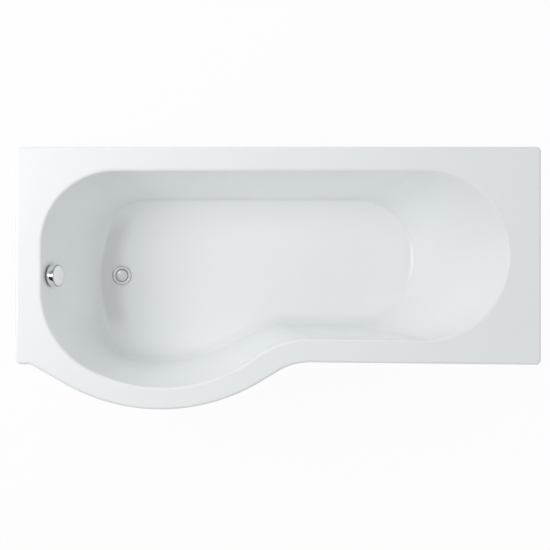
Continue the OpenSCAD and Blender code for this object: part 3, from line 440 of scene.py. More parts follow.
paints = {
    "acrylic": acrylicPaint(),
    "glass_fibre": fibrePaint(),
    "board": boardPaint(),
    "batten": battenPaint("softwoodLengthwise", lambda x, y: (x, y)),
    "battenAcross": battenPaint("softwoodAcross", lambda x, y: (y, x)),
    "battenBent": battenPaint("softwoodBent", roundBow),
    "galvanised": galvanisedPaint(),
    "zinc": zincPaint(),
    "chrome": chromePaint(),
    "chromeDull": darkChromePaint("satinChrome"),
    "chromeShaded": darkChromePaint("paintedShadeChrome"),
    "rubber": rubberPaint(),
    "white_plastic": mouldedPaint("whiteMoulding"),
    "grey_plastic": mouldedPaint("greyMoulding"),
    "hose_plastic": hosePaint(),
    "cable_jacket": jacketPaint(),
    "pad_plastic": padPaint(),
}
print("materials made:", len(paints))


def unit(v):
    return v / np.linalg.norm(v, axis=-1, keepdims=True)


# a grid of points and the quads between neighbours, which join last to first along a direction that wraps
def gridShape(grid, wrapRows=False, wrapColumns=False):
    rows, columns = grid.shape[:2]
    a, b = np.indices((rows - (not wrapRows), columns - (not wrapColumns)))
    c, d = (a + 1) % rows, (b + 1) % columns
    quads = np.stack([a * columns + b, c * columns + b, c * columns + d, a * columns + d], -1)
    return grid.reshape(-1, 3), quads.reshape(-1, 4)


# several (points, quads) as one
def joined(shapes):
    points, quads = zip(*shapes)
    first = np.cumsum([0, *(len(p) for p in points)])
    return np.concatenate(points), np.concatenate([q + start for q, start in zip(quads, first)])


# a profile of (radius, height) carried round an axis: origin + height * axis + radius * (cos, sin)
def turnedGrid(profile, steps, origin=(0, 0, 0), sideways=(1, 0, 0), axis=(0, 0, 1)):
    other = np.cross(axis, sideways)
    angle = np.linspace(0, 2 * np.pi, steps, endpoint=False)[:, None, None]
    radius, height = np.split(np.array(profile, float)[None], 2, -1)
    spoke = np.cos(angle) * np.array(sideways, float) + np.sin(angle) * other
    return np.array(origin) + height * np.array(axis, float) + radius * spoke


def turnedShape(*values):
    return gridShape(turnedGrid(*values), True, True)


# a closed profile whose corners (across, up, radius) are cut by tangent arcs
def rounded(corners, arcSteps=5):
    c = np.array(corners, float)
    place = c[:, :2]
    into, out = np.roll(place, 1, 0) - place, np.roll(place, -1, 0) - place
    inLength, outLength = np.linalg.norm(into, axis=1), np.linalg.norm(out, axis=1)
    into, out = into / inLength[:, None], out / outLength[:, None]
    half = np.arccos(np.clip((into * out).sum(1), -1, 1)) / 2
    reach = np.minimum(c[:, 2] / np.tan(half), 0.49 * np.minimum(inLength, outLength))  # arcs never overlap
    radius = reach * np.tan(half)
    points = []
    for k in range(len(c)):
        if radius[k] < 1e-6 or abs(half[k] - np.pi / 2) < 1e-3:  # a sharp corner, or none
            points.append(place[k : k + 1])
            continue
        middle = place[k] + unit(into[k] + out[k]) * radius[k] / np.sin(half[k])
        sweep = np.linspace(-1, 1, arcSteps + 1)[:, None] * (np.pi / 2 - half[k])
        away, across = unit(place[k] - middle), unit(out[k] - into[k])
        points.append(middle + radius[k] * (np.cos(sweep) * away + np.sin(sweep) * across))
    return np.concatenate(points)


def linked(name, data):
    made = bpy.data.objects.new(name, data)
    bpy.context.scene.collection.objects.link(made)
    return made


def newMesh(name, points, faces):
    mesh = bpy.data.meshes.new(name)
    mesh.from_pydata(np.asarray(points).tolist(), [], np.asarray(faces).tolist())
    return mesh


# closes poles and seams, then turns a new shape's faces outwards, or joins the flat triangles of a CAD shape
def tidyMesh(mesh, isNew=True):
    form = bmesh.new()
    form.from_mesh(mesh)
    bmesh.ops.remove_doubles(form, verts=form.verts, dist=weldGap)
    if isNew:
        bmesh.ops.recalc_face_normals(form, faces=form.faces)
    else:
        flat = math.radians(flatAngle)
        bmesh.ops.dissolve_limit(form, angle_limit=flat, verts=form.verts, edges=form.edges)
    for face in form.faces:
        face.smooth = True
    form.to_mesh(mesh)
    form.free()


def makePiece(name, points, quads, sharpPast=sharpAngle):
    mesh = newMesh(name, points * mm, quads)
    tidyMesh(mesh)
    mesh.set_sharp_from_angle(angle=math.radians(sharpPast))
    return linked(name, mesh)


# the piece takes a CAD node's place, body, slot and finish
def standFor(piece, node, paint=None):
    piece.data.materials.clear()
    piece.data.materials.append(paints[paint or slotOf[node]])
    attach(piece, bodyOf[node])
    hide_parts(node)


# cuts round holes: each cutter is a centre, an axis and (radius, from, to) along it
def drilled(piece, *cutters):
    for centre, axis, (radius, low, high) in cutters:
        sideways = unit(np.cross(axis, (0, 1, 0)))
        profile = [(0, low), (radius, low), (radius, high), (0, high)]
        tool = makePiece("drill", *turnedShape(profile, holeSteps, centre, sideways, axis))
        cut = piece.modifiers.new("hole", "BOOLEAN")
        cut.operation = "DIFFERENCE"
        cut.solver = "EXACT"
        cut.object = tool
        bpy.context.view_layer.update()
        old = piece.data
        fresh = bpy.data.meshes.new_from_object(piece.evaluated_get(bpy.context.evaluated_depsgraph_get()))
        piece.modifiers.clear()
        piece.data = fresh
        bpy.data.meshes.remove(old)
        bpy.data.objects.remove(tool)
    piece.data.shade_smooth()
    piece.data.set_sharp_from_angle(angle=math.radians(sharpAngle))


tub = {
    "high": 550.0, "deep": 405.0, "lip": 38.0, "thick": 5.0,
    "roll": 10.0, "edge": 9.0,  # radii of the rim's roll and of the deck's outer edge
    "floorMiddle": (-170.0, 80.5), "waste": (-574.0, 8.0), "overflowBelow": 56.0,
    "outerBow": ((-380, -425), 630, 30, 31),  # deepest point, radius, slope in, slope out
    "rimBow": ((-375, -363), 515, 21, 36),
    "floorBow": ((-425, -255), 470, 10, 26),
    "fine": 5,  # columns here for each one of the CAD shape
    "rollRows": 8, "straightRows": 20, "filletRows": 14, "edgeRows": 7,
    "floorSteps": (1.0, 0.65, 0.3, 0.05, 0.008),  # rows lie close together at both ends of a flat,
    "deckSteps": (0.02, 0.1, 0.35, 0.65, 0.9, 0.98),  # so that the shading stays flat between them
    "lipSteps": (0.06, 0.3, 0.7, 0.94, 1.0),
    "flangeSeat": (36.0, -1.2, 5.0), "wasteHole": (26.0, -12.0, 5.0), "overflowHole": (26.0, -14.0, 5.0),
}
floorHigh = tub["high"] - tub["deep"]
up = np.array([0.0, 0.0, 1.0])


# where the tangents of a bow meet, below its deepest point
def bowCorner(apex, radius, slopeIn, slopeOut):
    heading = math.radians(270 + (slopeOut - slopeIn) / 2)
    reach = radius / math.cos(math.radians((slopeIn + slopeOut) / 2))
    return apex[0] + reach * math.cos(heading), apex[1] + radius + reach * math.sin(heading)


def atX(p, slope, x):
    return x, p[1] + (x - p[0]) * math.tan(math.radians(slope))


def atY(p, slope, y):
    return p[0] + (y - p[1]) / math.tan(math.radians(slope)), y


outerBow, rimBow, floorBow = (bowCorner(*tub[name]) for name in ("outerBow", "rimBow", "floorBow"))
# a corner is its place, radius, arc steps, line steps and the fillet at the foot of the wall that follows
edgeCorners = [
    (-850, 425, 14, 6, 12, 0),
    (-850, -279, 16, 6, 1, 0),
    (*atY(outerBow, -30, -279), 25, 3, 2, 0),
    (*outerBow, 630, 18, 1, 0),
    (*atY(outerBow, 31, -272), 200, 10, 12, 0),
    (850, -281, 16, 6, 9, 0),
    (850, 425, 14, 6, 19, 0),
]
rimCorners = [
    (-774, 355, 250, 12, 4, 48),
    (*atX(rimBow, -21, -774), 300, 16, 1, 50),
    (*rimBow, 515, 18, 1, 50),
    (*atY(rimBow, 36, -204), 300, 10, 8, 50),
    (750, -213, 284, 14, 1, 28),
    (750, 355, 284, 14, 12, 9),
]
floorCorners = [
    (-604, 279, 150, 12, 4, 48),
    (*atX(floorBow, -10, -604), 116, 16, 1, 50),
    (*floorBow, 470, 18, 1, 50),
    (*atY(floorBow, 26, -118), 280, 10, 8, 50),
    (481, -127, 188, 14, 1, 28),
    (481, 279, 188, 14, 12, 9),
]


# columns (x, y, outward x, outward y, fillet) round tangent arcs: start + radius * (sin, 1 - cos)
def outline(corners):
    place, radius = np.array([c[:2] for c in corners], float), np.array([c[2] for c in corners])
    side = np.roll(place, -1, 0) - place
    length = np.linalg.norm(side, axis=1)
    heading = side / length[:, None]
    before = np.roll(heading, 1, 0)
    bend = np.arctan2(before[:, 0] * heading[:, 1] - before[:, 1] * heading[:, 0], (before * heading).sum(1))
    tangent = radius * np.tan(np.abs(bend) / 2)
    room = np.minimum(1, 0.98 * length / (tangent + np.roll(tangent, -1)))  # arcs that would meet shrink
    shrink = np.minimum(np.roll(room, 1), room)
    radius, tangent = radius * shrink, tangent * shrink
    columns = []
    for i, (_, _, _, arcSteps, lineSteps, fillet) in enumerate(corners):
        d, last, following = before[i], corners[i - 1][5], (i + 1) % len(corners)
        left = np.array([-d[1], d[0]]) * np.sign(bend[i])
        t = np.arange(arcSteps * tub["fine"] + 1)[:, None] / (arcSteps * tub["fine"])
        a = abs(bend[i]) * t
        points = place[i] - d * tangent[i] + radius[i] * np.sin(a) * d + radius[i] * (1 - np.cos(a)) * left
        n = np.cos(a) * d + np.sin(a) * left
        foot = last + (fillet - last) * t * t * (3 - 2 * t)
        columns.append(np.hstack([points, n[:, 1:], -n[:, :1], foot]))
        start = place[i] + heading[i] * tangent[i]
        end = place[following] - heading[i] * tangent[following]
        t = np.arange(1, lineSteps * tub["fine"])[:, None] / (lineSteps * tub["fine"])
        along = np.broadcast_to([heading[i][1], -heading[i][0], fillet], (len(t), 3))
        columns.append(np.hstack([start + (end - start) * t, along]))
    return np.concatenate(columns)


rim, floor = outline(rimCorners), outline(floorCorners)
edge = np.roll(outline(edgeCorners), 3 * tub["fine"], axis=0)
inward = -unit(rim[:, 2:4] + floor[:, 2:4])


# the angle at which roll, straight wall and fillet meet without a kink:
# tan(angle / 2) = (sqrt(run ^ 2 + deep * spare) - run) / spare
def leanOf(run, fillet):
    spare = tub["deep"] - 2 * (tub["roll"] + fillet)
    return 2 * np.arctan((np.sqrt(run**2 + tub["deep"] * spare) - run) / spare)


lean = leanOf(((floor[:, :2] - rim[:, :2]) * inward).sum(1), floor[:, 4])[:, None]


# rows of points inset from an outline; inset and height are one number, one for each row, or a grid
def offset(line, inset, height):
    inset, height, _ = np.broadcast_arrays(inset, height, np.zeros((len(line), 1)))
    return np.concatenate([line[:, None, :2] - inset[..., None] * line[:, None, 2:4], height[..., None]], -1)


# rows between two rings: a + (b - a) * step
def between(a, b, steps):
    return a + (b - a) * np.asarray(steps)[:, None]


# the wall from rim to floor, depth below the showing side: roll arc, straight rows, fillet arc
def wallGrid(depth):
    reach, turn = tub["roll"] - depth, lean * np.linspace(0, 1, tub["rollRows"] + 1)
    top = offset(rim, reach * np.sin(turn), tub["high"] - tub["roll"] + reach * np.cos(turn))
    reach, turn = floor[:, 4:] + depth, lean * np.linspace(1, 0, tub["filletRows"] + 1)
    foot = offset(floor, -reach * np.sin(turn), floorHigh + floor[:, 4:] - reach * np.cos(turn))
    steps = np.linspace(0, 1, tub["straightRows"] + 1)[1:-1]
    return np.concatenate([top, between(top[:, -1:], foot[:, :1], steps), foot], 1)


# the deck's outer edge: a quarter round from level to upright
def edgeGrid(depth):
    reach, turn = tub["edge"] - depth, np.linspace(0, math.pi / 2, tub["edgeRows"] + 1)
    return offset(edge, tub["edge"] - reach * np.sin(turn), tub["high"] - tub["edge"] + reach * np.cos(turn))


# one face of a formed sheet: from the middle of the floor up the wall, over the deck, and on along the tail
def sheetFace(depth, deckEnd, tail):
    wall = wallGrid(depth)[:, ::-1]
    middle = np.array([*tub["floorMiddle"], wall[0, 0, 2]])
    inner = between(wall[:, :1], middle, tub["floorSteps"])
    return np.concatenate([inner, wall, between(wall[:, -1:], deckEnd, tub["deckSteps"]), tail], 1)


def closedSheet(front, back):
    return gridShape(np.concatenate([front, back[:, ::-1]], 1), wrapRows=True)


wastePlace = np.array([*tub["waste"], floorHigh])
wallAngle = float(leanOf(floorCorners[0][0] - rimCorners[0][0], floorCorners[0][5]))  # at the waste end
overflowAxis = np.array([math.sin(wallAngle), 0, math.cos(wallAngle)])
overflowDown = np.array([math.cos(wallAngle), 0, -math.sin(wallAngle)])
straightDrop = tub["overflowBelow"] - tub["roll"] * (1 - math.cos(wallAngle))
overflowX = rimCorners[0][0] + tub["roll"] * math.sin(wallAngle) + straightDrop / math.tan(wallAngle)
overflowPlace = np.array([overflowX, tub["waste"][1], tub["high"] - tub["overflowBelow"]])


def makeShell():
    faces = []
    for depth in (0.0, tub["thick"]):
        roll = edgeGrid(depth)
        skirt = between(roll[:, -1:], offset(edge, depth, tub["high"] - tub["lip"]), tub["lipSteps"])
        faces.append(sheetFace(depth, roll[:, :1], np.concatenate([roll, skirt], 1)))
    shell = makePiece("bathShell", *closedSheet(*faces))
    drilled(
        shell, (wastePlace, up, tub["flangeSeat"]), (wastePlace, up, tub["wasteHole"]),
        (overflowPlace, overflowAxis, tub["overflowHole"]),
    )
    standFor(shell, "bath_shell")


backing = {
    "front": 5.3, "rear": 8.5, "inset": 14.0, "margin": 1.5, "lump": 0.55, "contrast": 0.28, "phase": 90,
    "waves": ((0.031, 0.043, 0.037), (-0.052, 0.027, 0.061), (0.083, -0.071, 0.048), (0.019, 0.094, -0.087)),
    "wasteHole": (26.0, -14.0, 3.0), "overflowHole": (26.0, -17.0, 3.0),
}


def backingFace(depth):
    high, inset = tub["high"] - depth, backing["inset"]
    return sheetFace(depth, offset(edge, inset + backing["margin"], high), offset(edge, inset, high))


# the rear face lies between two depths by a sum of waves that run over the sheet
def makeBacking():
    deep, shallow = backingFace(backing["rear"]), backingFace(backing["rear"] - backing["lump"])
    lumps = sum(np.sin(deep @ np.array(wave) + wave[0] * backing["phase"]) for wave in backing["waves"])
    blend = np.clip(0.5 + lumps * backing["contrast"], 0, 1)[..., None]
    rear = deep + (shallow - deep) * blend
    skin = makePiece("backingSkin", *closedSheet(backingFace(backing["front"]), rear))
    holes = (wastePlace, up, backing["wasteHole"]), (overflowPlace, overflowAxis, backing["overflowHole"])
    drilled(skin, *holes)
    standFor(skin, "backing_skin")


makeShell()
print("shell made")
makeBacking()
print("backing made")

legs = {
    "shower_wall": (-400, 213), "shower_front": (-400, -189),
    "head_wall": (330, 213), "head_front": (330, -61), "middle": (-40, 75),
}
nut = {
    "high": 8.0, "widest": 9.75, "bore": 5.05, "lead": 0.5, "flat": 0.94, "cone": 30,
    "underWeb": 80.2, "overWeb": 90.2,  # heights of the nuts below and above a rail's web
    "steps": 96, "sharpPast": 20,
}
stud = {
    "radius": 5.0, "low": 6.0, "high": 115.2, "pitch": 1.5, "deep": 0.92, "sides": 24, "rowsPerTurn": 6,
    "steep": 2.5, "crest": 0.12, "taper": 1.2, "sharpPast": 50,
    "gripLow": 22.0, "gripHigh": 28.0, "gripWide": 8.0, "gripChamfer": 0.6, "gripFace": 0.9,
}
pad = {
    "profile": [
        (0, 0, 0), (24, 0, 1), (26, 2, 1.5), (26, 6, 1.2), (21.5, 7.7, 0), (17, 9.4, 0), (13, 11, 1.5),
        (11, 20, 0.8), (5.05, 20, 0.3), (5.05, 6, 0), (0, 6, 0),
    ],
    "steps": 144, "ribs": 12, "wave": (1.6, 4.2, 6),  # start, fall and power of the step from hollow to rib
    "hollow": 1.9, "hollowFrom": 13.2, "hollowTo": 24.6, "hollowAbove": 5, "slope": 2, "sharpPast": 40,
}


# radius over angle is a hexagon's; each corner is cut back by the cone of a turned chamfer
def nutShape(x, y, low):
    steps, high, bore, lead = nut["steps"], nut["high"], nut["bore"], nut["lead"]
    angle = np.arange(steps) * 2 * np.pi / steps
    flat = nut["widest"] * math.cos(math.pi / 6)
    hexagon = flat / np.cos(np.mod(angle, np.pi / 3) - np.pi / 6)
    cut = (hexagon - flat * nut["flat"]) * math.tan(math.radians(nut["cone"]))
    rows = [
        (bore, lead), (bore + lead, 0), (flat * nut["flat"], 0), (hexagon, cut), (hexagon, high - cut),
        (flat * nut["flat"], high), (bore + lead, high), (bore, high - lead),
    ]
    radius, height = (np.stack([row[k] + 0 * angle for row in rows], 1) for k in (0, 1))
    turn = angle[:, None]
    grid = np.stack([x + radius * np.cos(turn), y + radius * np.sin(turn), low + height], -1)
    return gridShape(grid, True, True)


# thread: radius falls by deep times a rounded saw of height / pitch - angle / a turn, and fades at both ends
def studShape(x, y):
    low, high, pitch, sides = (stud[name] for name in ("low", "high", "pitch", "sides"))
    z = np.linspace(low, high, int((high - low) / pitch * stud["rowsPerTurn"]) + 1)[:, None]
    angle = np.arange(sides)[None, :] * 2 * np.pi / sides
    phase = np.mod(z / pitch - angle / (2 * np.pi), 1)
    saw = np.clip(np.abs(phase - 0.5) * stud["steep"] - stud["crest"], 0, 1)
    end = np.clip(stud["taper"] - np.minimum(z - low, high - z), 0, stud["taper"])
    radius = np.minimum(stud["radius"] - stud["deep"] * saw, stud["radius"] - end)
    grid = np.stack([x + radius * np.cos(angle), y + radius * np.sin(angle), z + 0 * angle], -1)
    ends = [np.broadcast_to([x, y, height], (1, sides, 3)) for height in (low, high)]
    return gridShape(np.concatenate([ends[0], grid, ends[1]]), wrapColumns=True)


# the hexagon that a spanner turns the stud by: a profile carried round in six steps
def gripShape(x, y):
    low, high, widest, chamfer = (stud["grip" + name] for name in ("Low", "High", "Wide", "Chamfer"))
    face = widest * stud["gripFace"]
    below = [(0, low), (face, low), (widest, low + chamfer)]
    above = [(widest, high - chamfer), (face, high), (0, high)]
    return turnedShape(below + above, 6, (x, y, 0))


# a turned foot, its cone hollowed between ribs: height falls by hollow * a soft square wave of the angle
def padShape(x, y):
    profile = rounded(pad["profile"])
    grid = turnedGrid(profile, pad["steps"], (x, y, 0))
    angle = np.arange(pad["steps"]) * 2 * np.pi / pad["steps"]
    start, fall, power = pad["wave"]
    wave = np.clip(start - fall * np.abs(np.cos(angle * pad["ribs"] / 2)) ** power, 0, 1)[:, None]
    across, height = profile.T[:, None]
    inner = np.clip((across - pad["hollowFrom"]) / pad["slope"], 0, 1)
    outer = np.clip((pad["hollowTo"] - across) / pad["slope"], 0, 1)
    grid[..., 2] -= pad["hollow"] * wave * inner * outer * (height > pad["hollowAbove"])
    return gridShape(grid, True, True)


def makeLegs():
    nuts = []
    for name, (x, y) in legs.items():
        nuts.append(nutShape(x, y, nut["underWeb"]))
        if name != "middle":
            nuts.append(nutShape(x, y, nut["overWeb"]))
        threaded = joined([studShape(x, y), gripShape(x, y)])
        standFor(makePiece("threadedStud_" + name, *threaded, stud["sharpPast"]), "stud_" + name)
        standFor(makePiece("footPad_" + name, *padShape(x, y), pad["sharpPast"]), "pad_" + name)
    standFor(makePiece("legNuts", *joined(nuts), nut["sharpPast"]), "leg_nuts")


makeLegs()
print("feet made")

plug = {
    "radius": 20.6, "crown": 4.4, "fall": 1.5, "domeSteps": 14, "steps": 128,
    "below": [(4.05, -6, 0.2), (6, -6, 0.4), (6, 0, 0.5), (21.4, 0, 0.4), (21.4, 2.3, 0.5)],
    "socket": [(0, 1, 0), (4.05, 1, 0)],
}


# the crown is a shallow cubic dome: height = crown - fall * (across / radius) ^ 3
def makePlugCap():
    across = np.linspace(plug["radius"], 0, plug["domeSteps"])
    dome = [(r, plug["crown"] - plug["fall"] * (r / plug["radius"]) ** 3, 0) for r in across]
    profile = rounded([*plug["below"], *dome, *plug["socket"]])
    cap = makePiece("plugCap", *turnedShape(profile, plug["steps"], wastePlace))
    standFor(cap, "plug_cap", "chromeDull")


knob = {
    "profile": [
        (33, 5, 0.5), (36, 5, 0.8), (36, 30.65, 2.6), (18, 30.9, 0), (0, 31, 0), (0, 25.2, 0),
        (4.05, 25.2, 0), (4.05, 5, 0.3), (8, 5, 0.5), (8, 26.5, 2), (33, 26.5, 2.5),
    ],
    "face": 31.0, "arcSteps": 8, "steps": 160, "screwHigh": 13, "screwHole": (2.1, 6.0, 40.0),
}


# a cup with a boss for the spindle: its profile carried round the wall's normal
def makeKnob():
    paints["chromeKnob"] = knobPaint(overflowPlace * mm, overflowAxis, knob["face"] * mm)
    profile = rounded(knob["profile"], knob["arcSteps"])
    shape = turnedShape(profile, knob["steps"], overflowPlace, overflowDown, overflowAxis)
    piece = makePiece("overflowKnob", *shape)
    drilled(piece, (overflowPlace + knob["screwHigh"] * overflowAxis, overflowDown, knob["screwHole"]))
    standFor(piece, "overflow_knob", "chromeKnob")


union = {
    "profile": [
        (20.9, -12.8, 0.6), (20.9, 12, 1), (17.5, 16, 1), (14.3, 16, 0.4), (14.3, 0.4, 0.3), (17.1, 0, 0.3),
        (17.1, -14, 0.4), (20, -14, 0.8),
    ],
    "arcSteps": 6, "steps": 240, "grips": 12, "gripDeep": 1.2, "sharpness": 3, "ribShare": 0.6,
    "gripFrom": 18.5, "gripTo": 20, "gripTop": 13, "gripFade": 3,
}


# a moulded nut with rounded grips: radius falls by gripDeep * a soft square wave of the angle
def unionNut(name, node, place, axis):
    profile = rounded(union["profile"], union["arcSteps"])
    grid = turnedGrid(profile, union["steps"], place, (0, 1, 0), axis)
    angle = np.arange(union["steps"])[:, None] * 2 * np.pi / union["steps"]
    hollow = 0.5 - 0.5 * np.tanh(np.cos(angle * union["grips"]) * union["sharpness"] + union["ribShare"])
    grip = np.clip((profile[:, 0] - union["gripFrom"]) / (union["gripTo"] - union["gripFrom"]), 0, 1)
    grip = grip * np.clip((union["gripTop"] - profile[:, 1]) / union["gripFade"], 0, 1)
    axis, away = np.array(axis, float), grid - np.array(place)
    away -= (away @ axis)[..., None] * axis
    grid -= union["gripDeep"] * hollow[..., None] * grip[None, :, None] * unit(away)
    standFor(makePiece(name, *gridShape(grid, True, True)), node)


hose = {
    "bend": 115.0, "cuff": 28.0, "radius": 14.0, "bore": 10.35, "valley": 12.7, "pitch": 5, "play": 0.3,
    "chamfer": 0.6, "chamferLong": 0.8, "sharpness": 1.8, "sharpPast": 60,
    "rowsPerRib": 8, "boreRows": 61, "sides": 40,
    "outlet": (-34, -52),  # the cup's spigot from the control, across and up
    "port": (-50.0, -46.0),  # the waste body's spigot from the waste
}
outletX, outletLow = overflowPlace[0] + hose["outlet"][0], overflowPlace[2] + hose["outlet"][1]
portX, portHigh = wastePlace[0] + hose["port"][0], floorHigh + hose["port"][1]


# down, round a quarter bend and level
# ribs: valley + (radius - valley) * a soft square wave of length / pitch
def makeHose():
    bend, cuff, sides, valley = (hose[name] for name in ("bend", "cuff", "sides", "valley"))
    startZ, endX = outletLow - hose["play"], portX - hose["play"]
    down, level, turn = startZ - portHigh - bend, endX - outletX - bend, bend * math.pi / 2
    length = down + turn + level
    ribs = int((length - 2 * cuff) / hose["pitch"])
    ribbed = cuff + np.linspace(0, length - 2 * cuff, ribs * hose["rowsPerRib"] + 1)
    wave = np.sin((ribbed - cuff) / (length - 2 * cuff) * ribs * 2 * np.pi - math.pi)
    crest = 0.5 + 0.5 * np.tanh(wave * hose["sharpness"]) / math.tanh(hose["sharpness"])
    near = np.array([0, hose["chamferLong"], cuff / 2, cuff - hose["chamfer"]])  # rows of the plain cuff
    inner = np.linspace(length, 0, hose["boreRows"])
    along = np.concatenate([near, ribbed, length - near[::-1], inner])
    cuffRadius = hose["radius"] - hose["chamfer"] * (near == 0)
    ribRadius = valley + (hose["radius"] - valley) * crest
    radius = np.concatenate([cuffRadius, ribRadius, cuffRadius[::-1], np.full(len(inner), hose["bore"])])
    a = np.clip((along - down) / bend, 0, math.pi / 2)
    x = outletX + bend * (1 - np.cos(a)) + np.maximum(along - down - turn, 0)
    z = startZ - np.minimum(along, down) - bend * np.sin(a)
    turned = np.arange(sides)[None, :, None] * 2 * np.pi / sides
    middle = np.column_stack([x, np.full(len(x), tub["waste"][1]), z])[:, None]
    outwards = np.column_stack([np.cos(a), np.zeros(len(a)), np.sin(a)])[:, None]
    ring = np.cos(turned) * outwards + np.sin(turned) * np.array([0, 1.0, 0])
    shape = gridShape(middle + radius[:, None, None] * ring, True, True)
    piece = makePiece("overflowHose", *shape, hose["sharpPast"])
    grime = np.zeros(len(along))
    grime[len(near) : len(near) + len(ribbed)] = 1 - crest
    spots = piece.data.attributes.new("valley", "FLOAT", "POINT")
    spots.data.foreach_set("value", np.repeat(grime, sides).astype(np.float32))
    standFor(piece, "overflow_hose")


cable = {
    "radius": 2.5, "sides": 24, "spans": 12,
    "drumRadius": 6.3662, "drumAside": (0, 32.3, 0), "drumDeep": 29.8,
    "gland": (0, 28.8, -61.0),  # of the plunger, from the waste
    "leave": [(0, 0, 0), (0, 14, 0), (-1, 28, -1)], "arrive": [(0, 30, 0), (0, 15, 0), (0, 0, 0)],
    "fromControl": [(-27, 92, -22), (-32, 114, -50), (-35, 122, -94), (-35, 124, -154)],
    "fromWaste": [
        (-203, 124, 135), (-194, 123, 75), (-171, 121, 15), (-128, 119, -30),
        (-78, 114, -53), (-36, 104, -61), (-10, 89, -61),
    ],
}


# the smooth curve through each point, from its neighbours a, b, c and d:
# half of 2 b + (c - a) t + (2 a - 5 b + 4 c - d) t^2 + (3 b - a - 3 c + d) t^3
def cableCurve(points, spans):
    p = np.concatenate([points[:1], points, points[-1:]])
    a, b, c, d = p[:-3, None], p[1:-2, None], p[2:-1, None], p[3:, None]
    t = (np.arange(spans) / spans)[None, :, None]
    curve = 0.5 * (2 * b + (c - a) * t + (2 * a - 5 * b + 4 * c - d) * t**2 + (3 * b - a - 3 * c + d) * t**3)
    return np.concatenate([curve.reshape(-1, 3), points[-1:]])


# rings square to the curve: point + radius * (cos, sin), with closed ends
def makeCable():
    start = overflowPlace + cable["drumRadius"] * overflowDown + np.array(cable["drumAside"])
    start = start - cable["drumDeep"] * overflowAxis
    end = wastePlace + np.array(cable["gland"])
    route = [(start, "leave"), (overflowPlace, "fromControl"), (wastePlace, "fromWaste"), (end, "arrive")]
    points = np.concatenate([place + np.array(cable[name]) for place, name in route])
    line = cableCurve(points, cable["spans"])
    line = line[np.concatenate([[True], np.linalg.norm(np.diff(line, axis=0), axis=1) > 1e-6])]
    heading = unit(np.gradient(line, axis=0))
    u = unit(np.cross(heading, np.array([1.0, 1.0, 1.0])))  # a direction that the cable never takes
    v = np.cross(heading, u)
    angle = (np.arange(cable["sides"]) * 2 * np.pi / cable["sides"])[None, :, None]
    rings = line[:, None] + cable["radius"] * (np.cos(angle) * u[:, None] + np.sin(angle) * v[:, None])
    ends = [np.repeat(line[k][None, None], cable["sides"], 1) for k in (0, -1)]
    grid = np.concatenate([ends[0], rings, ends[1]])
    standFor(makePiece("controlCable", *gridShape(grid, wrapColumns=True)), "control_cable")


makePlugCap()
makeKnob()
unionNut("upperHoseNut", "upper_hose_nut", (outletX, tub["waste"][1], outletLow), (0, 0, -1))
unionNut("lowerHoseNut", "lower_hose_nut", (portX, tub["waste"][1], portHigh), (-1, 0, 0))
makeHose()
makeCable()
print("overflow and hose made")

easedEdges = {  # how far the edges of a CAD shape are rounded over, and the nodes that need no more
    0.8: ["base_board"],
    1.5: ["wall_batten", "waste_end_batten", "head_end_batten", "bow_batten", "front_batten"],
    0.5: [
        "shower_rail", "head_rail", "middle_bracket", "wall_brackets", "waste_washer", "waste_body",
        "overflow_gasket", "overflow_body",
    ],
    0.4: ["overflow_plate"],
    0.3: ["waste_flange", "flange_seal", "control_spindle", "plug_seal", "lift_plunger"],
    0.25: ["frame_screws", "bracket_screws", "plate_screws"],
    0.2: ["cable_drum", "plug_stem"],
    0.15: ["knob_screw"],
    0.1: ["cable_wires"],
}
# the overflow plate takes the chrome that is painted near black as shade behind the knob
ownPaint = {
    "waste_end_batten": "battenAcross", "head_end_batten": "battenAcross", "bow_batten": "battenBent",
    "waste_flange": "chromeDull", "overflow_plate": "chromeShaded",
}


# a CAD node's own shape with its edges rounded over, named as the node without its underscores
def easedCopy(node, width):
    first, *rest = node.split("_")
    name = first + "".join(word.capitalize() for word in rest)
    mesh = cad[node].data.copy()
    mesh.name = name
    tidyMesh(mesh, isNew=False)
    piece = linked(name, mesh)
    bevel = piece.modifiers.new("edges", "BEVEL")
    bevel.width = width * mm
    bevel.segments = 2
    bevel.limit_method = "ANGLE"
    bevel.angle_limit = math.radians(bevelAngle)
    bevel.harden_normals = True
    bevel.miter_outer = "MITER_ARC"
    standFor(piece, node, ownPaint.get(node))


for width, nodes in easedEdges.items():
    for node in nodes:
        easedCopy(node, width)
print("eased pieces made:", sum(map(len, easedEdges.values())))

studio = {
    "cameraPlace": (-0.0103, 0.010, 3.42),  # straight above, a little towards the wall side
    "lens": 58.2, "sensor": 36.0,
    "floorSize": 14.0, "paperWhite": 0.95, "paperDark": (0.89, 0.89, 0.89), "paperLight": (0.91, 0.91, 0.91),
    "paperScale": 3, "clothScale": 40, "clothSpread": 1.3, "ambient": 0.42, "skyTint": (0.965, 1.0, 1.0, 1),
}
lamps = {  # place, size, power, aim, tint; the chrome mirrors the first alone
    "keyLamp": ((-2.4, 0.5, 2.75), 1.8, 43.0, (-0.1, 0.0, 0.4), (1.0, 0.985, 1.0)),
    "fillLamp": ((2.6, -1.6, 2.2), 2.6, 13.0, (-0.5, 0.1, 0.3), (1, 1, 1)),
    "sideLamp": ((-0.7, 3.0, 1.95), 2.0, 17.0, (-0.2, -0.3, 0.35), (1, 1, 1)),
    "topLamp": ((0.0, 0.0, 4.6), 3.0, 12.0, (0.001, 0.0, 0.0), (1, 1, 1)),
}
cards = {  # place, half across, half along and tone of the cloth
    "paleCard": ((-1.71, 1.40, 1.56), (0.16, 0.72, -0.78), (0.62, 0.30, 0.30), 0.40),
    "darkCard": ((-1.71, -1.40, 1.56), (0.16, -0.72, -0.78), (0.62, -0.30, 0.30), 0.02),
}


